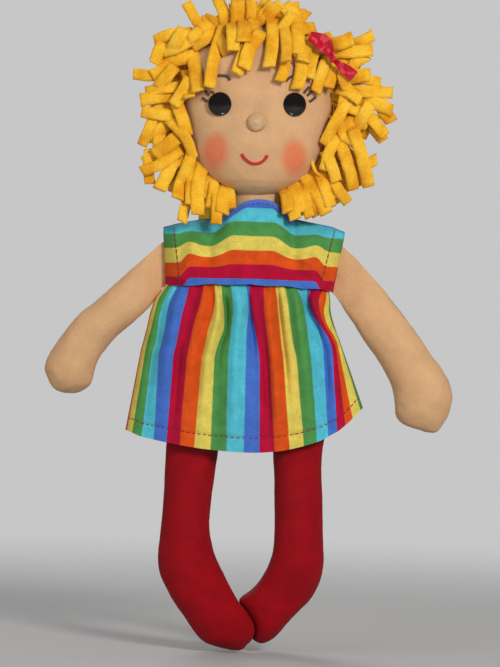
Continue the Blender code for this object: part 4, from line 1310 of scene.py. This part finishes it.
def ribbon_place(points, width, looped):
    """Where the ribbon's cloth goes: narrow at the knot, pleated, wide at its end."""
    last = len(points) - 1

    def place(u, v):
        along = 1 - abs(2 * v - 1) if looped else v
        back = 2.6 * sin(pi * min(along, 0.98)) ** 0.5 if looped and v > 0.5 else 0
        x, y, z = read(points, along * last)
        ahead = Vector(read(points, min(along + 0.05, 1) * last))
        behind = Vector(read(points, max(along - 0.05, 0) * last))
        side = (ahead - behind).normalized().cross(Vector((0, 1, 0))).normalized()
        spread = mix(0.3, 0.8, smooth(along * 1.25))
        if looped:
            narrowed = 1 - 0.45 * smooth((along - 0.55) / 0.45)
            spread = mix(0.32, 1.2, smooth(along * 1.7)) * narrowed
        pleat = 0.9 * sin(3 * pi * u + 0.6) * (1 - smooth(along))
        pleat += 0.5 * sin(2 * pi * u + 4 * along)
        spot = KNOT + Vector((x, y + back - pleat, z)) + side * (u - 0.5) * width * spread
        return at(*spot)

    return place


def knot_place(u, v):
    """A point of the knot, a short swollen roll of ribbon with five pleats."""
    angle = tau * u
    swell = (0.25 + sin(pi * v) ** 0.5) * (1 + 0.08 * sin(5 * angle))
    if v <= 0 or v >= 1:
        swell = 0.001
    wide, deep = KNOT_HALF
    ring = KNOT_ACROSS * cos(angle) * wide + Vector((0, 1, 0)) * sin(angle) * deep
    return at(*(KNOT + KNOT_ALONG * (v - 0.5) * KNOT_LENGTH + ring * swell))


def build_bow(width):
    for name, cad_node, points, looped in RIBBON_ENDS:
        place = ribbon_place(points, width / MM, looped)
        ribbon = grid(name, 12, 36, place, material_of("ribbon"), lambda u, v: (u, v))
        thicken(ribbon, 0.35 * MM)
        soften(ribbon)
        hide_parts(cad_node)
        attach(ribbon, "head")
    knot = tube("bow_knot_satin", 24, 12, knot_place, material_of("ribbon"), lambda u, v: (v, u))
    soften(knot)
    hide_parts("bow_knot")
    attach(knot, "head")


# Dress

WAIST_ENDS = (-56.0, 52.9)
SHOULDER_ENDS = (-58.6, 59.6)
# The skirt's lower edge from left to right: place across and height
HEM_LINE = (
    (-79.5, -98.0),
    (-69.7, -101.6),
    (-52.9, -104.8),
    (-34.3, -107.6),
    (-13.3, -109.4),
    (8.7, -109.7),
    (28.4, -106.9),
    (46, -101.5),
    (58.8, -94.5),
    (66.5, -87.5),
    (74.5, -79.5),
)
MIDDLE_HEM = HEM_LINE[5][1]
# The bodice's stripes: height of one, and where the lowest blue one ends
STRIPE_HEIGHT = 9.2
BLUE_TOP = 2.5
# Shares of the way down the skirt: where its lines run straight, and the stitches of its hem
STRAIGHT_FROM = 0.47
HEM_AT = 0.915
# A height on the skirt's front and a distance below it, from which patch_bends works out each
# patch's fade
BEND_FROM = -53.0
BEND_OVER = 44.0
# A scale on that worked-out fade, so that it ends a little before the border
FADE_EARLY = 1.08
# Folds of the bodice: line start, line end, half width, height (up is out)
BODICE_FOLDS = (
    (-37.5, 25, -45.5, 1.0, 4.0, 3.4),
    (-27, 34, -29, 12.5, 4.5, -3.0),
    (26, 38, 26.5, 18, 3.6, -3.4),
    (36, 27, 34.6, 10, 4.2, 3.0),
    (27, 19.5, 46, 9, 2.6, 2.0),
    (-14, 7, 14, 4, 4, 1.0),
    (-50, 12, -51, 30, 3.0, 1.2),
    (46, 4, 48, 24, 3.0, -1.6),
    (-16, 30, -10, 12, 5, 0.9),
    (14, 34, 12, 12, 5, 1.0),
)
# Where the two backs of the bodice meet, as a share across it
BACK_OPENING = 0.491


def bodice_spot(u, v):
    """Across and up for a share u across the bodice and v up it, and the height of its top."""
    top_x = mix(*SHOULDER_ENDS, u)
    top = look_up(BODICE_TOP, 1, top_x)
    bottom = -1.4 - 2.6 * (2 * u - 1) ** 2 + 0.35 * sin(29 * u)
    return mix(mix(*WAIST_ENDS, u), top_x, v), mix(bottom, top, v), top


def bodice_depth(u, v):
    """How far the bodice stands from the doll's middle plane, the same at the front and back."""
    x, z, top = bodice_spot(u, v)
    middle = mix(24.2, 14.2, smooth((z - 29) / 22))
    shoulder = smooth((abs(x) - 15) / 9)
    rise = min(max((z - 12) / (top - 12), 0), 1)
    fall = mix(1, sqrt(max(1 - rise**2.4, 0)), shoulder)
    return middle * sqrt(max(1 - (2 * u - 1) ** 2, 0)) ** 0.85 * fall


def fold_height(folds, x, z):
    """The height of all folds at a place, each a soft ridge along its line."""
    total = 0
    for x0, z0, x1, z1, reach, height in folds:
        span = Vector((x1 - x0, z1 - z0))
        away = Vector((x - x0, z - z0))
        share = min(max(away.dot(span) / span.length_squared, 0), 1)
        total += height * bump((away - span * share).length, reach)
    return total


def bodice_front_place(u, v):
    x, z, _ = bodice_spot(u, v)
    edge = smooth(min(v, 1 - v) * 9) * smooth(min(u, 1 - u) * 16)
    raised = fold_height(BODICE_FOLDS, x, z) * mix(0.35, 1, edge)
    return at(x, -bodice_depth(u, v) - raised, z)


def bodice_texture(u, v):
    """Which stripe lies where. The drawn cloth shifts them beside the neck and over the arms."""
    x, z, _ = bodice_spot(u, v)
    away = abs(x)
    high = 8.0 * smooth((z + 2) / 30)
    drawn = high * smooth((away - 12) / 16) - 3.6 * bump(z - 22, 9) * bump(away - 41, 6)
    drawn += (9.0 - high) * smooth((away - 40) / 7)
    return ((z + drawn - BLUE_TOP) / STRIPE_HEIGHT, x / 10)


def cloth_normals(obj, place, spots):
    """Gives a thickened panel the smooth normals of the whole cloth that it is a part of."""
    step = 0.002
    normals = []
    for u, v in spots:
        across = place(min(u + step, 1), v) - place(max(u - step, 0), v)
        along = place(u, min(v + step, 1)) - place(u, max(v - step, 0))
        normals.append(across.cross(along).normalized())
    points = obj.data.vertices
    first_face_out = (points[0].co - points[len(spots)].co).dot(normals[0]) > 0
    if not first_face_out:
        normals = [-n for n in normals]
    both_faces = normals + [-n for n in normals]
    obj.data.normals_split_custom_set_from_vertices([tuple(n) for n in both_faces])


def panel(name, place, texture, across, rows, columns, thickness):
    """A panel of the striped cloth over a share of a whole surface, with closed edges."""
    low, high = across

    def own_place(u, v):
        return place(mix(low, high, u), v)

    def own_texture(u, v):
        return texture(mix(low, high, u), v)

    obj = grid(name, columns, rows, own_place, material_of("stripes"), own_texture)
    spots = [
        (mix(low, high, i / columns), j / rows) for j in range(rows + 1) for i in range(columns + 1)
    ]
    assert len(obj.data.vertices) == len(spots)
    thicken(obj, thickness)
    pick(obj)
    bpy.ops.object.shade_smooth()
    cloth_normals(obj, place, spots)
    return obj


def dress_piece(obj, cad_node):
    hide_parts(cad_node)


def surface_line(place, start, end, steps, lift, side):
    """Points along a straight path over a surface, lifted off it by lift metres."""
    return [
        place(mix(start[0], end[0], i / steps), mix(start[1], end[1], i / steps))
        + Vector((0, side * lift, 0))
        for i in range(steps + 1)
    ]


def sewn(points, side, stitch, gap, dip):
    """Stitches along a line on the front (side -1) or the back (side 1), all in millimetres."""
    return stitch_lines(points, stitch * MM, gap * MM, Vector((0, -side * dip * MM, 0)))


def dress_thread(name, dashes, width):
    """Stitches of the dress in its dark thread, width in millimetres."""
    stitches = thread(name, dashes, width * MM, material_of("dress_thread"))
    return stitches


def bodice_back_place(u, v):
    x, z, _ = bodice_spot(u, v)
    soft = 0.5 * sin(x / 5 + z / 9) * smooth(min(v, 1 - v) * 8)
    return at(x, bodice_depth(u, v) + soft, z)


def build_bodice(thickness):
    front = panel("bodice_front_cloth", bodice_front_place, bodice_texture,
                  (0, 1), 40, 84, thickness)
    dress_piece(front, "bodice_front")
    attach(front, "torso")
    for name, ends in (
        ("bodice_back_left", (0.0, BACK_OPENING)),
        ("bodice_back_right", (BACK_OPENING, 1.0)),
    ):
        back = panel(name + "_cloth", bodice_back_place, bodice_texture, ends, 40, 44, thickness)
        dress_piece(back, name)
        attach(back, "torso")


def build_armhole_stitches():
    dashes = []
    for top, low in (((0.055, 0.98), (0.085, 0.03)), ((0.945, 0.98), (0.92, 0.03))):
        for place, side in ((bodice_front_place, -1), (bodice_back_place, 1)):
            line = surface_line(place, top, low, 40, 0.7 * MM, side)
            dashes += sewn(line, side, 3.4, 0.45, 0.5)
    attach(dress_thread("armhole_stitches", dashes, 0.75), "torso")


def neck_edge(u, drop, lift):
    """A point round the neckline, drop millimetres below its edge and lift off the dress."""
    share, side = (2 * u, -1) if u < 0.5 else (2 - 2 * u, 1)
    across = mix(0.72, 0.285, share)
    top = bodice_spot(across, 1)[2]
    v = 1 - drop / (top + 1.5)
    x, z, _ = bodice_spot(across, v)
    depth = max(bodice_depth(across, v), 1.0)
    return at(x, side * (depth + lift), z)


def build_neck_binding():
    def place(u, v):
        wrap = sin(pi * v)
        return neck_edge(u, mix(-0.9, 3.6, v), 0.35 + 0.5 * wrap)

    binding = weld(grid("neck_binding_cloth", 120, 8, place, material_of("binding")), 2e-5)
    thicken(binding, 0.8 * MM)
    soften(binding)
    dress_piece(binding, "neck_binding")
    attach(binding, "torso")
    dashes = []
    for start, side in ((0.002, -1), (0.502, 1)):
        line = [neck_edge(start + 0.496 * i / 90, 1.9, 1.3) for i in range(91)]
        dashes += sewn(line, side, 2.2, 1.0, 0.7)
    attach(dress_thread("neckline_stitches", dashes, 0.7), "torso")


def shoulder_point(u):
    """A point of the shoulder seam, where front and back of the bodice meet."""
    x, z, _ = bodice_spot(u, 1)
    return at(x, 0, z + 0.1)


def build_shoulder_binding():
    edges = [
        [shoulder_point(mix(*ends, i / 24)) for i in range(25)]
        for ends in ((0.0, 0.29), (0.715, 1.0))
    ]
    piping = thread("shoulder_binding", edges, 1.5 * MM, material_of("binding"))
    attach(piping, "torso")


# The places of each stripe line, kept once worked out
LINE_PLACES = {}


def line_places(stripe):
    """A stripe line's places across, from the waist to the middle and at the hem."""
    if stripe not in LINE_PLACES:
        LINE_PLACES[stripe] = [(look_up(STRIPE_LINES, k, stripe),) for k in range(1, 8)]
    return LINE_PLACES[stripe]


def line_x(stripe, v):
    """A stripe line's place across at v down the skirt, straight in the lower half."""
    places = line_places(stripe)
    if v >= STRAIGHT_FROM:
        return mix(places[5][0], places[6][0], (v - STRAIGHT_FROM) / (1 - STRAIGHT_FROM))
    return read(places[:6], 5 * v / STRAIGHT_FROM)[0]


def skirt_edges(v):
    """Where the left and the right side seam are across."""
    return line_x(FIRST_LINE, v), line_x(LAST_LINE, v)


def skirt_top(x):
    """The height at which the skirt is sewn in, just inside the bodice's lower edge."""
    return -2.6 * (x / 56) ** 2


def skirt_spot(stripe, v):
    """Across and up for a place along the stripes, and the share across the front."""
    top_x, hem_x = line_places(stripe)[0][0], line_places(stripe)[6][0]
    x = line_x(stripe, v)
    z = mix(skirt_top(top_x), look_up(HEM_LINE, 1, hem_x), v)
    left, right = skirt_edges(v)
    return x, z, min(max(2 * (x - left) / (right - left) - 1, -1), 1)


def stripe_at(u):
    """The stripe line at a share u across the front."""
    return mix(FIRST_LINE, LAST_LINE, u)


def hem_ridge(v):
    """The doubled cloth of the hem, drawn in along its stitches."""
    return 0.55 * smooth((v - HEM_AT) * 60) - 0.8 * bump(v - HEM_AT, 0.012)


def skirt_front_place(u, v):
    """The front, from the left side seam to the right one, with its folds and gathers."""
    stripe = stripe_at(u)
    x, z, across = skirt_spot(stripe, v)
    puff = 21.4 + 2.8 * smooth(v / 0.07) + 2.8 * smooth(v * 1.3)
    depth = puff * sqrt(1 - across * across) ** 0.8
    edge = smooth((1 - abs(across)) * 5)
    raised = 0
    for line, reach, height, start, end in SKIRT_FOLDS:
        grown = smooth((v - start) / 0.12) * mix(1, 0.25, smooth((v - end + 0.3) / 0.3))
        raised += height * grown * bump(x - line_x(line, v), reach * mix(0.62, 1.0, v))
    gathers = 1.3 * smooth(v / 0.03) * exp(-v * 9) * sin(2.1 * pi * stripe + 1.3 * sin(stripe))
    ripple = 0.45 * sin(1.9 * stripe + 7 * v) * smooth(v * 3)
    y = -depth - (raised + gathers + ripple - 1.2) * edge - hem_ridge(v) * edge
    return at(x, y, z)


def skirt_front_texture(u, v):
    return stripe_at(u), v * 10


def skirt_back_place(u, v):
    """The back, from the right side seam to the left one."""
    first, last = STRIPE_LINES[0], STRIPE_LINES[-1]
    stripe = mix(LAST_LINE, FIRST_LINE, u)
    left, right = skirt_edges(v)
    x = mix(right, left, u)
    hem_x = mix(last[7], first[7], u)
    z = mix(skirt_top(mix(last[1], first[1], u)), look_up(HEM_LINE, 1, hem_x), v)
    across = 1 - 2 * u
    puff = 21.6 + 2.6 * smooth(v / 0.07) + 8.0 * smooth(v * 1.2)
    depth = puff * sqrt(max(1 - across * across, 0)) ** 0.8
    edge = smooth((1 - abs(across)) * 5)
    waves = sin(stripe * 2.4 + 0.8 * sin(stripe * 0.9)) + 0.5 * sin(stripe * 1.37 + 2)
    folds = waves * smooth(v / 0.1) * mix(0.8, 1.9, smooth(v * 2))
    gathers = exp(-v * 11) * sin(2.3 * pi * stripe)
    y = depth + (folds + gathers - 0.8) * edge + hem_ridge(v) * edge
    return at(x, y, z)


def skirt_back_texture(u, v):
    return mix(LAST_LINE, BACK_LAST_LINE, u), v * 10


def border_line(stripe):
    """Across = a + b * up along the lower half of a patch border."""
    x0, z0, _ = skirt_spot(stripe, STRAIGHT_FROM)
    x1, z1, _ = skirt_spot(stripe, 1)
    slope = (x1 - x0) / (z1 - z0)
    return x0 - slope * z0, slope


def bend_with_leg(piece, border=None):
    """Bakes the piece's transform into its mesh; the border's line is worked out, but nothing uses
    it.
    """
    base, slope = border_line(border) if border is not None else (0, 0)
    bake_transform(piece)


def patch_bends():
    """For each patch of the front: its leg, the border it fades from, and how fast."""
    hem_x = [skirt_spot(line, 1)[0] for line in PATCH_LINES]
    fall = (BEND_FROM - MIDDLE_HEM) / BEND_OVER
    bends = []
    for i in range(6):
        leg = "leg_left" if i < 3 else "leg_right"
        if i in (1, 4):
            bends.append((leg, None, 0.0))
            continue
        border, far = (i + 1, i) if i in (0, 3) else (i, i + 1)
        reach = hem_x[far] - hem_x[border]
        bends.append((leg, PATCH_LINES[border], -fall * FADE_EARLY / reach))
    return bends


def cut_width(place, first, last):
    """The width of the cloth between two shares across it, measured above its hem."""
    line = [place(mix(first, last, i / 80), 0.8) for i in range(81)]
    return sum((b - a).length for a, b in zip(line, line[1:]))


def hem_stitches(name, place, first, last, steps, side):
    """The stitches of the hem between two shares across the cloth."""
    line = surface_line(place, (first, HEM_AT), (last, HEM_AT), steps, 0.75 * MM, side)
    return dress_thread(name, sewn(line, side, 3.2, 0.6, 0.4), 0.7)


def build_skirt_front(thickness):
    span = LAST_LINE - FIRST_LINE
    for i, (leg, border, fade) in enumerate(patch_bends()):
        ends = [(line - FIRST_LINE) / span for line in PATCH_LINES[i : i + 2]]
        patch = panel(f"skirt_front_cloth_{i + 1}", skirt_front_place, skirt_front_texture,
                      ends, 64, 22, thickness)
        bend_with_leg(patch, border)
        width = cut_width(skirt_front_place, *ends)
        stitches = hem_stitches(f"hem_stitches_{i + 1}", skirt_front_place,
                                ends[0] + 0.002, ends[1] - 0.002, 60, -1)
        bend_with_leg(stitches, border)
        if i == 0:
            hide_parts("skirt_front")
            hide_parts("hem_stitching_front")


def build_skirt_back(thickness):
    back = panel("skirt_back_cloth", skirt_back_place, skirt_back_texture,
                 (0, 1), 64, 120, thickness)
    dress_piece(back, "skirt_back")
    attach(back, "torso")
    cut_width(skirt_back_place, 0, 1)
    stitches = hem_stitches("hem_stitches_back", skirt_back_place, 0.004, 0.996, 300, 1)
    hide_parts("hem_stitching_back")
    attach(stitches, "torso")


def placket_place(u, v):
    """A point of the placket's outer face, dimpled along the line where it is sewn down."""
    x = mix(PLACKET_LOW[0], PLACKET_HIGH[0], u)
    z = mix(PLACKET_LOW[2], PLACKET_HIGH[2], v)
    sag = 0.25 * MM * bump(min(u, 1 - u, v, 1 - v) - 0.1, 0.03)
    return Vector((x, PLACKET_HIGH[1] - sag, z))


def placket_texture(u, v):
    z = (placket_place(u, v).z - WAIST_Z) / MM
    return (z - BLUE_TOP) / STRIPE_HEIGHT, u


def build_placket():
    """The flat strip over the back opening, sewn down round its edge."""
    strip = grid("placket_cloth", 28, 56, placket_place, material_of("stripes"), placket_texture)
    thicken(strip, PLACKET_HIGH[1] - PLACKET_LOW[1], 1)
    past = max(point.co.y for point in strip.data.vertices) - PLACKET_HIGH[1]
    if past > 1e-6:
        strip.data.transform(Matrix.Translation((0, -past, 0)))
    apply(strip, "BEVEL", width=0.25 * MM, segments=2, limit_method="ANGLE")
    pick(strip)
    bpy.ops.object.shade_smooth_by_angle(angle=radians(40))
    dress_piece(strip, "back_placket")
    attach(strip, "torso")
    path = ((0.1, 0.05), (0.9, 0.05), (0.9, 0.95), (0.1, 0.95), (0.1, 0.05))
    line = [placket_place(*spot) + Vector((0, -0.05 * MM, 0)) for spot in path]
    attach(dress_thread("placket_stitches", sewn(line, 1, 2.2, 1.0, 0.25), 0.45), "torso")


def colour_tapes():
    """The fastener's two tapes keep their solids and get the look of pile."""
    for name in ("closure_loop_tape", "closure_hook_tape"):
        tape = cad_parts[name]
        tape.data.materials.clear()
        tape.data.materials.append(material_of("tape"))


# Stage

# The camera: its roll, the plane that it is aimed at and its distance from it, the height of what
# it sees there and the middle of that
CAMERA_ROLL = radians(1.63)
CAMERA_PLANE_Y = -0.04
CAMERA_DISTANCE = 2.2
FRAME_HEIGHT = 0.4336
FRAME_MIDDLE = (-0.0003, -0.0499)
BACKDROP = (0.57, 0.57, 0.575)


def add_camera():
    deselect()
    bpy.ops.object.camera_add()
    camera = bpy.context.object
    camera.name = "photo_camera"
    right = Vector((cos(CAMERA_ROLL), 0, sin(CAMERA_ROLL)))
    up = Vector((-sin(CAMERA_ROLL), 0, cos(CAMERA_ROLL)))
    back = Vector((0, -1, 0))
    turn = Matrix((right, up, back)).transposed().to_4x4()
    spot = Vector((FRAME_MIDDLE[0], CAMERA_PLANE_Y - CAMERA_DISTANCE, FRAME_MIDDLE[1]))
    camera.matrix_world = Matrix.Translation(spot) @ turn
    camera.data.sensor_fit = "VERTICAL"
    camera.data.angle = 2 * atan2(FRAME_HEIGHT / 2, CAMERA_DISTANCE)
    camera.data.clip_start = 0.01
    bpy.context.scene.camera = camera


def add_light(name, spot, aim, size, power, colour=(1, 1, 1)):
    deselect()
    bpy.ops.object.light_add(type="AREA", location=spot)
    light = bpy.context.object
    light.name = name
    light.data.size = size
    light.data.energy = power
    light.data.color = colour
    way = Vector(aim) - Vector(spot)
    light.rotation_euler = way.to_track_quat("-Z", "Y").to_euler()
    return light


def floor_material():
    """Pale matt paper that turns into the plain backdrop colour far from the doll."""
    material, surface = new_material("floor_paper", 0.9)
    grain = clouds(material, 420, 4)
    tones = graded(material, grain, ((0.3, shade(BACKDROP, 0.8)), (0.7, shade(BACKDROP, 0.88))))
    link(material, tones, surface.inputs["Base Color"])
    bumped(material, surface, grain, 0.15, 0.0004)
    far = node(material, "Emission", {"Color": (*BACKDROP, 1), "Strength": 1.0})
    spots = node(material, "TexCoord").outputs["Object"]
    reach = node(material, "VectorMath", {0: spots}, operation="LENGTH").outputs["Value"]
    fade = node(
        material, "MapRange", {"Value": reach, "From Min": 0.35, "From Max": 1.3},
        interpolation_type="SMOOTHSTEP").outputs["Result"]
    seen = node(material, "LightPath").outputs["Is Camera Ray"]
    share = math(material, "MULTIPLY", fade, seen)
    both = node(material, "MixShader", {0: share, 1: surface.outputs[0], 2: far.outputs[0]})
    out = material.node_tree.nodes["Material Output"]
    link(material, both.outputs[0], out.inputs["Surface"])
    return material


def set_world():
    world = bpy.data.worlds.new("studio")
    bpy.context.scene.world = world
    world.use_nodes = True
    tree = world.node_tree
    glow = tree.nodes["Background"]
    glow.inputs["Color"].default_value = (1, 0.99, 0.97, 1)
    glow.inputs["Strength"].default_value = 0.32
    dark = tree.nodes.new("ShaderNodeBackground")
    dark.inputs["Color"].default_value = (0.5, 0.5, 0.5, 1)
    dark.inputs["Strength"].default_value = 0.2
    mirrored = tree.nodes.new("ShaderNodeMixShader")
    plain = tree.nodes.new("ShaderNodeBackground")
    plain.inputs["Color"].default_value = (*BACKDROP, 1)
    seen = tree.nodes.new("ShaderNodeLightPath")
    both = tree.nodes.new("ShaderNodeMixShader")
    tree.links.new(seen.outputs["Is Camera Ray"], both.inputs[0])
    tree.links.new(seen.outputs["Is Glossy Ray"], mirrored.inputs[0])
    tree.links.new(glow.outputs[0], mirrored.inputs[1])
    tree.links.new(dark.outputs[0], mirrored.inputs[2])
    tree.links.new(mirrored.outputs[0], both.inputs[1])
    tree.links.new(plain.outputs[0], both.inputs[2])
    tree.links.new(both.outputs[0], tree.nodes["World Output"].inputs["Surface"])


def build_stage():
    deselect()
    bpy.ops.mesh.primitive_plane_add(size=30)
    floor = name_it(bpy.context.object, "floor", floor_material())
    floor.location = (0, 0, FLOOR_Z)
    key = add_light("key_light", (0.9, -1.9, 0.75), (0, 0, -0.05), 0.5, 35, (1, 0.98, 0.95))
    key.visible_glossy = False
    fill = add_light("fill_light", (-1.5, -1.4, 0.3), (0, 0, -0.05), 1.6, 10)
    fill.visible_glossy = False
    glint = add_light("eye_glint", (0.01, -0.2, -0.17), (0, 0, 0.11), 0.03, 0.15)
    glint.visible_diffuse = glint.visible_camera = False
    add_light("back_light", (-0.6, 1.8, 1.2), (0, 0, 0), 1.2, 16)
    set_world()
    add_camera()
    settings = bpy.context.scene.view_settings
    settings.view_transform = "Standard"


# Add-on


def length_field(name, description, default):
    return FloatProperty(name=name, description=description, default=default, unit="LENGTH",
                         subtype="DISTANCE", min=0.0, precision=4)


def colour_field(name, description, default):
    return FloatVectorProperty(name=name, description=description, default=default, size=3,
                               subtype="COLOR", min=0.0, max=1.0)


class DollSizes(bpy.types.PropertyGroup):
    """Sizes of the doll's pieces."""

    eye_width: length_field("Eye width", "Diameter of the domed eye buttons", 0.0156)
    nose_width: length_field("Nose width", "Diameter of the bead that is the nose", 0.0125)
    strip_width: length_field("Strip width", "Width of a strip of fleece hair", 0.0080)
    strip_thickness: length_field("Strip thickness", "Thickness of the fleece", 0.0021)
    fibre_length: length_field("Fibre length", "Length of the loose fibres on the fleece", 0.0011)
    ribbon_width: length_field("Ribbon width", "Width of the satin ribbon of the bow", 0.0095)
    dress_thickness: length_field("Dress thickness", "Thickness of the striped cotton", 0.0009)


class DollColours(bpy.types.PropertyGroup):
    """Colours of the doll's cloths, threads and buttons."""

    skin: colour_field("Skin", "Cotton of the head and the arms", (0.61, 0.36, 0.185))
    blush: colour_field("Blush", "Colour rubbed on the cheeks", (0.72, 0.16, 0.07))
    legs: colour_field("Legs", "Cotton of the legs", (0.275, 0.0015, 0.006))
    hair: colour_field("Hair", "Fleece of the hair", (0.84, 0.45, 0.024))
    hair_deep: colour_field("Hair, deep", "Fleece in its hollows", (0.70, 0.29, 0.008))
    hair_light: colour_field("Hair, light", "Fleece where it is matted", (0.88, 0.55, 0.055))
    ribbon: colour_field("Ribbon", "Satin of the bow", (0.50, 0.002, 0.02))
    stripe_crimson: colour_field("Crimson stripe", "First stripe", (0.42, 0.004, 0.035))
    stripe_orange: colour_field("Orange stripe", "Second stripe", (0.64, 0.075, 0.008))
    stripe_yellow: colour_field("Yellow stripe", "Third stripe", (0.68, 0.55, 0.10))
    stripe_green: colour_field("Green stripe", "Fourth stripe", (0.07, 0.26, 0.065))
    stripe_turquoise: colour_field("Turquoise stripe", "Fifth stripe", (0.08, 0.48, 0.60))
    stripe_blue: colour_field("Blue stripe", "Sixth stripe, and the binding", (0.055, 0.15, 0.53))
    dress_thread: colour_field("Dress thread", "Stitches of the dress", (0.20, 0.006, 0.03))
    mouth: colour_field("Mouth", "Thread of the smile", (0.55, 0.018, 0.02))
    brows: colour_field("Brows", "Thread of the brows and lashes", (0.105, 0.05, 0.032))
    eyes: colour_field("Eyes", "Plastic of the eye buttons", (0.006, 0.005, 0.005))
    nose: colour_field("Nose", "Plastic of the nose bead", (0.56, 0.36, 0.19))


class DOLL_OT_stage(bpy.types.Operator):
    """Lays the floor and sets up the lights and the camera"""

    bl_idname = "doll.stage"
    bl_label = "Stage"

    def execute(self, context):
        build_stage()
        return {"FINISHED"}


class DOLL_OT_body(bpy.types.Operator):
    """Builds the stuffed torso, neck, arms and legs"""

    bl_idname = "doll.body"
    bl_label = "Body"

    def execute(self, context):
        build_torso()
        build_arm("arm_left", LEFT_ARM, -1)
        build_arm("arm_right", RIGHT_ARM, 1)
        build_leg("leg_left", LEFT_LEG, -1)
        build_leg("leg_right", RIGHT_LEG, 1)
        return {"FINISHED"}


class DOLL_OT_head(bpy.types.Operator):
    """Builds the head with its buttons, mouth, brows and lashes"""

    bl_idname = "doll.head"
    bl_label = "Head"

    def execute(self, context):
        sizes = context.scene.doll_sizes
        build_head()
        build_buttons(sizes.eye_width, sizes.nose_width)
        build_face_lines()
        return {"FINISHED"}


class DOLL_OT_hair(bpy.types.Operator):
    """Sews the fleece strips on their cap"""

    bl_idname = "doll.hair"
    bl_label = "Hair"

    def execute(self, context):
        sizes = context.scene.doll_sizes
        strips = build_hair(sizes.strip_width, sizes.strip_thickness)
        build_cap()
        build_fuzz(strips, sizes.fibre_length)
        return {"FINISHED"}


class DOLL_OT_bow(bpy.types.Operator):
    """Ties the satin bow in the hair"""

    bl_idname = "doll.bow"
    bl_label = "Bow"

    def execute(self, context):
        build_bow(context.scene.doll_sizes.ribbon_width)
        return {"FINISHED"}


class DOLL_OT_dress(bpy.types.Operator):
    """Sews the striped dress with its binding, hem and back placket"""

    bl_idname = "doll.dress"
    bl_label = "Dress"

    def execute(self, context):
        thickness = context.scene.doll_sizes.dress_thickness
        build_bodice(thickness)
        build_armhole_stitches()
        build_neck_binding()
        build_shoulder_binding()
        build_skirt_front(thickness)
        build_skirt_back(thickness)
        build_placket()
        colour_tapes()
        return {"FINISHED"}


OPERATORS = (
    DOLL_OT_stage,
    DOLL_OT_body,
    DOLL_OT_head,
    DOLL_OT_hair,
    DOLL_OT_bow,
    DOLL_OT_dress,
)


class DOLL_PT_panel(bpy.types.Panel):
    """The doll's sizes, colours and building steps"""

    bl_label = "Cloth doll"
    bl_space_type = "VIEW_3D"
    bl_region_type = "UI"
    bl_category = "Doll"

    def draw(self, context):
        layout = self.layout
        for operator in OPERATORS:
            layout.operator(operator.bl_idname)
        for group in (context.scene.doll_sizes, context.scene.doll_colours):
            box = layout.box()
            for name in group.bl_rna.properties.keys():
                if name not in {"rna_type", "name"}:
                    box.prop(group, name)


CLASSES = (DollSizes, DollColours, *OPERATORS, DOLL_PT_panel)


def register():
    for one in CLASSES:
        bpy.utils.register_class(one)
    bpy.types.Scene.doll_sizes = PointerProperty(type=DollSizes)
    bpy.types.Scene.doll_colours = PointerProperty(type=DollColours)


def unregister():
    del bpy.types.Scene.doll_colours
    del bpy.types.Scene.doll_sizes
    for one in reversed(CLASSES):
        bpy.utils.unregister_class(one)


def main():
    register()
    bpy.ops.doll.stage()
    bpy.ops.doll.body()
    bpy.ops.doll.head()
    bpy.ops.doll.hair()
    bpy.ops.doll.bow()
    bpy.ops.doll.dress()


if __name__ == "__main__":
    main()
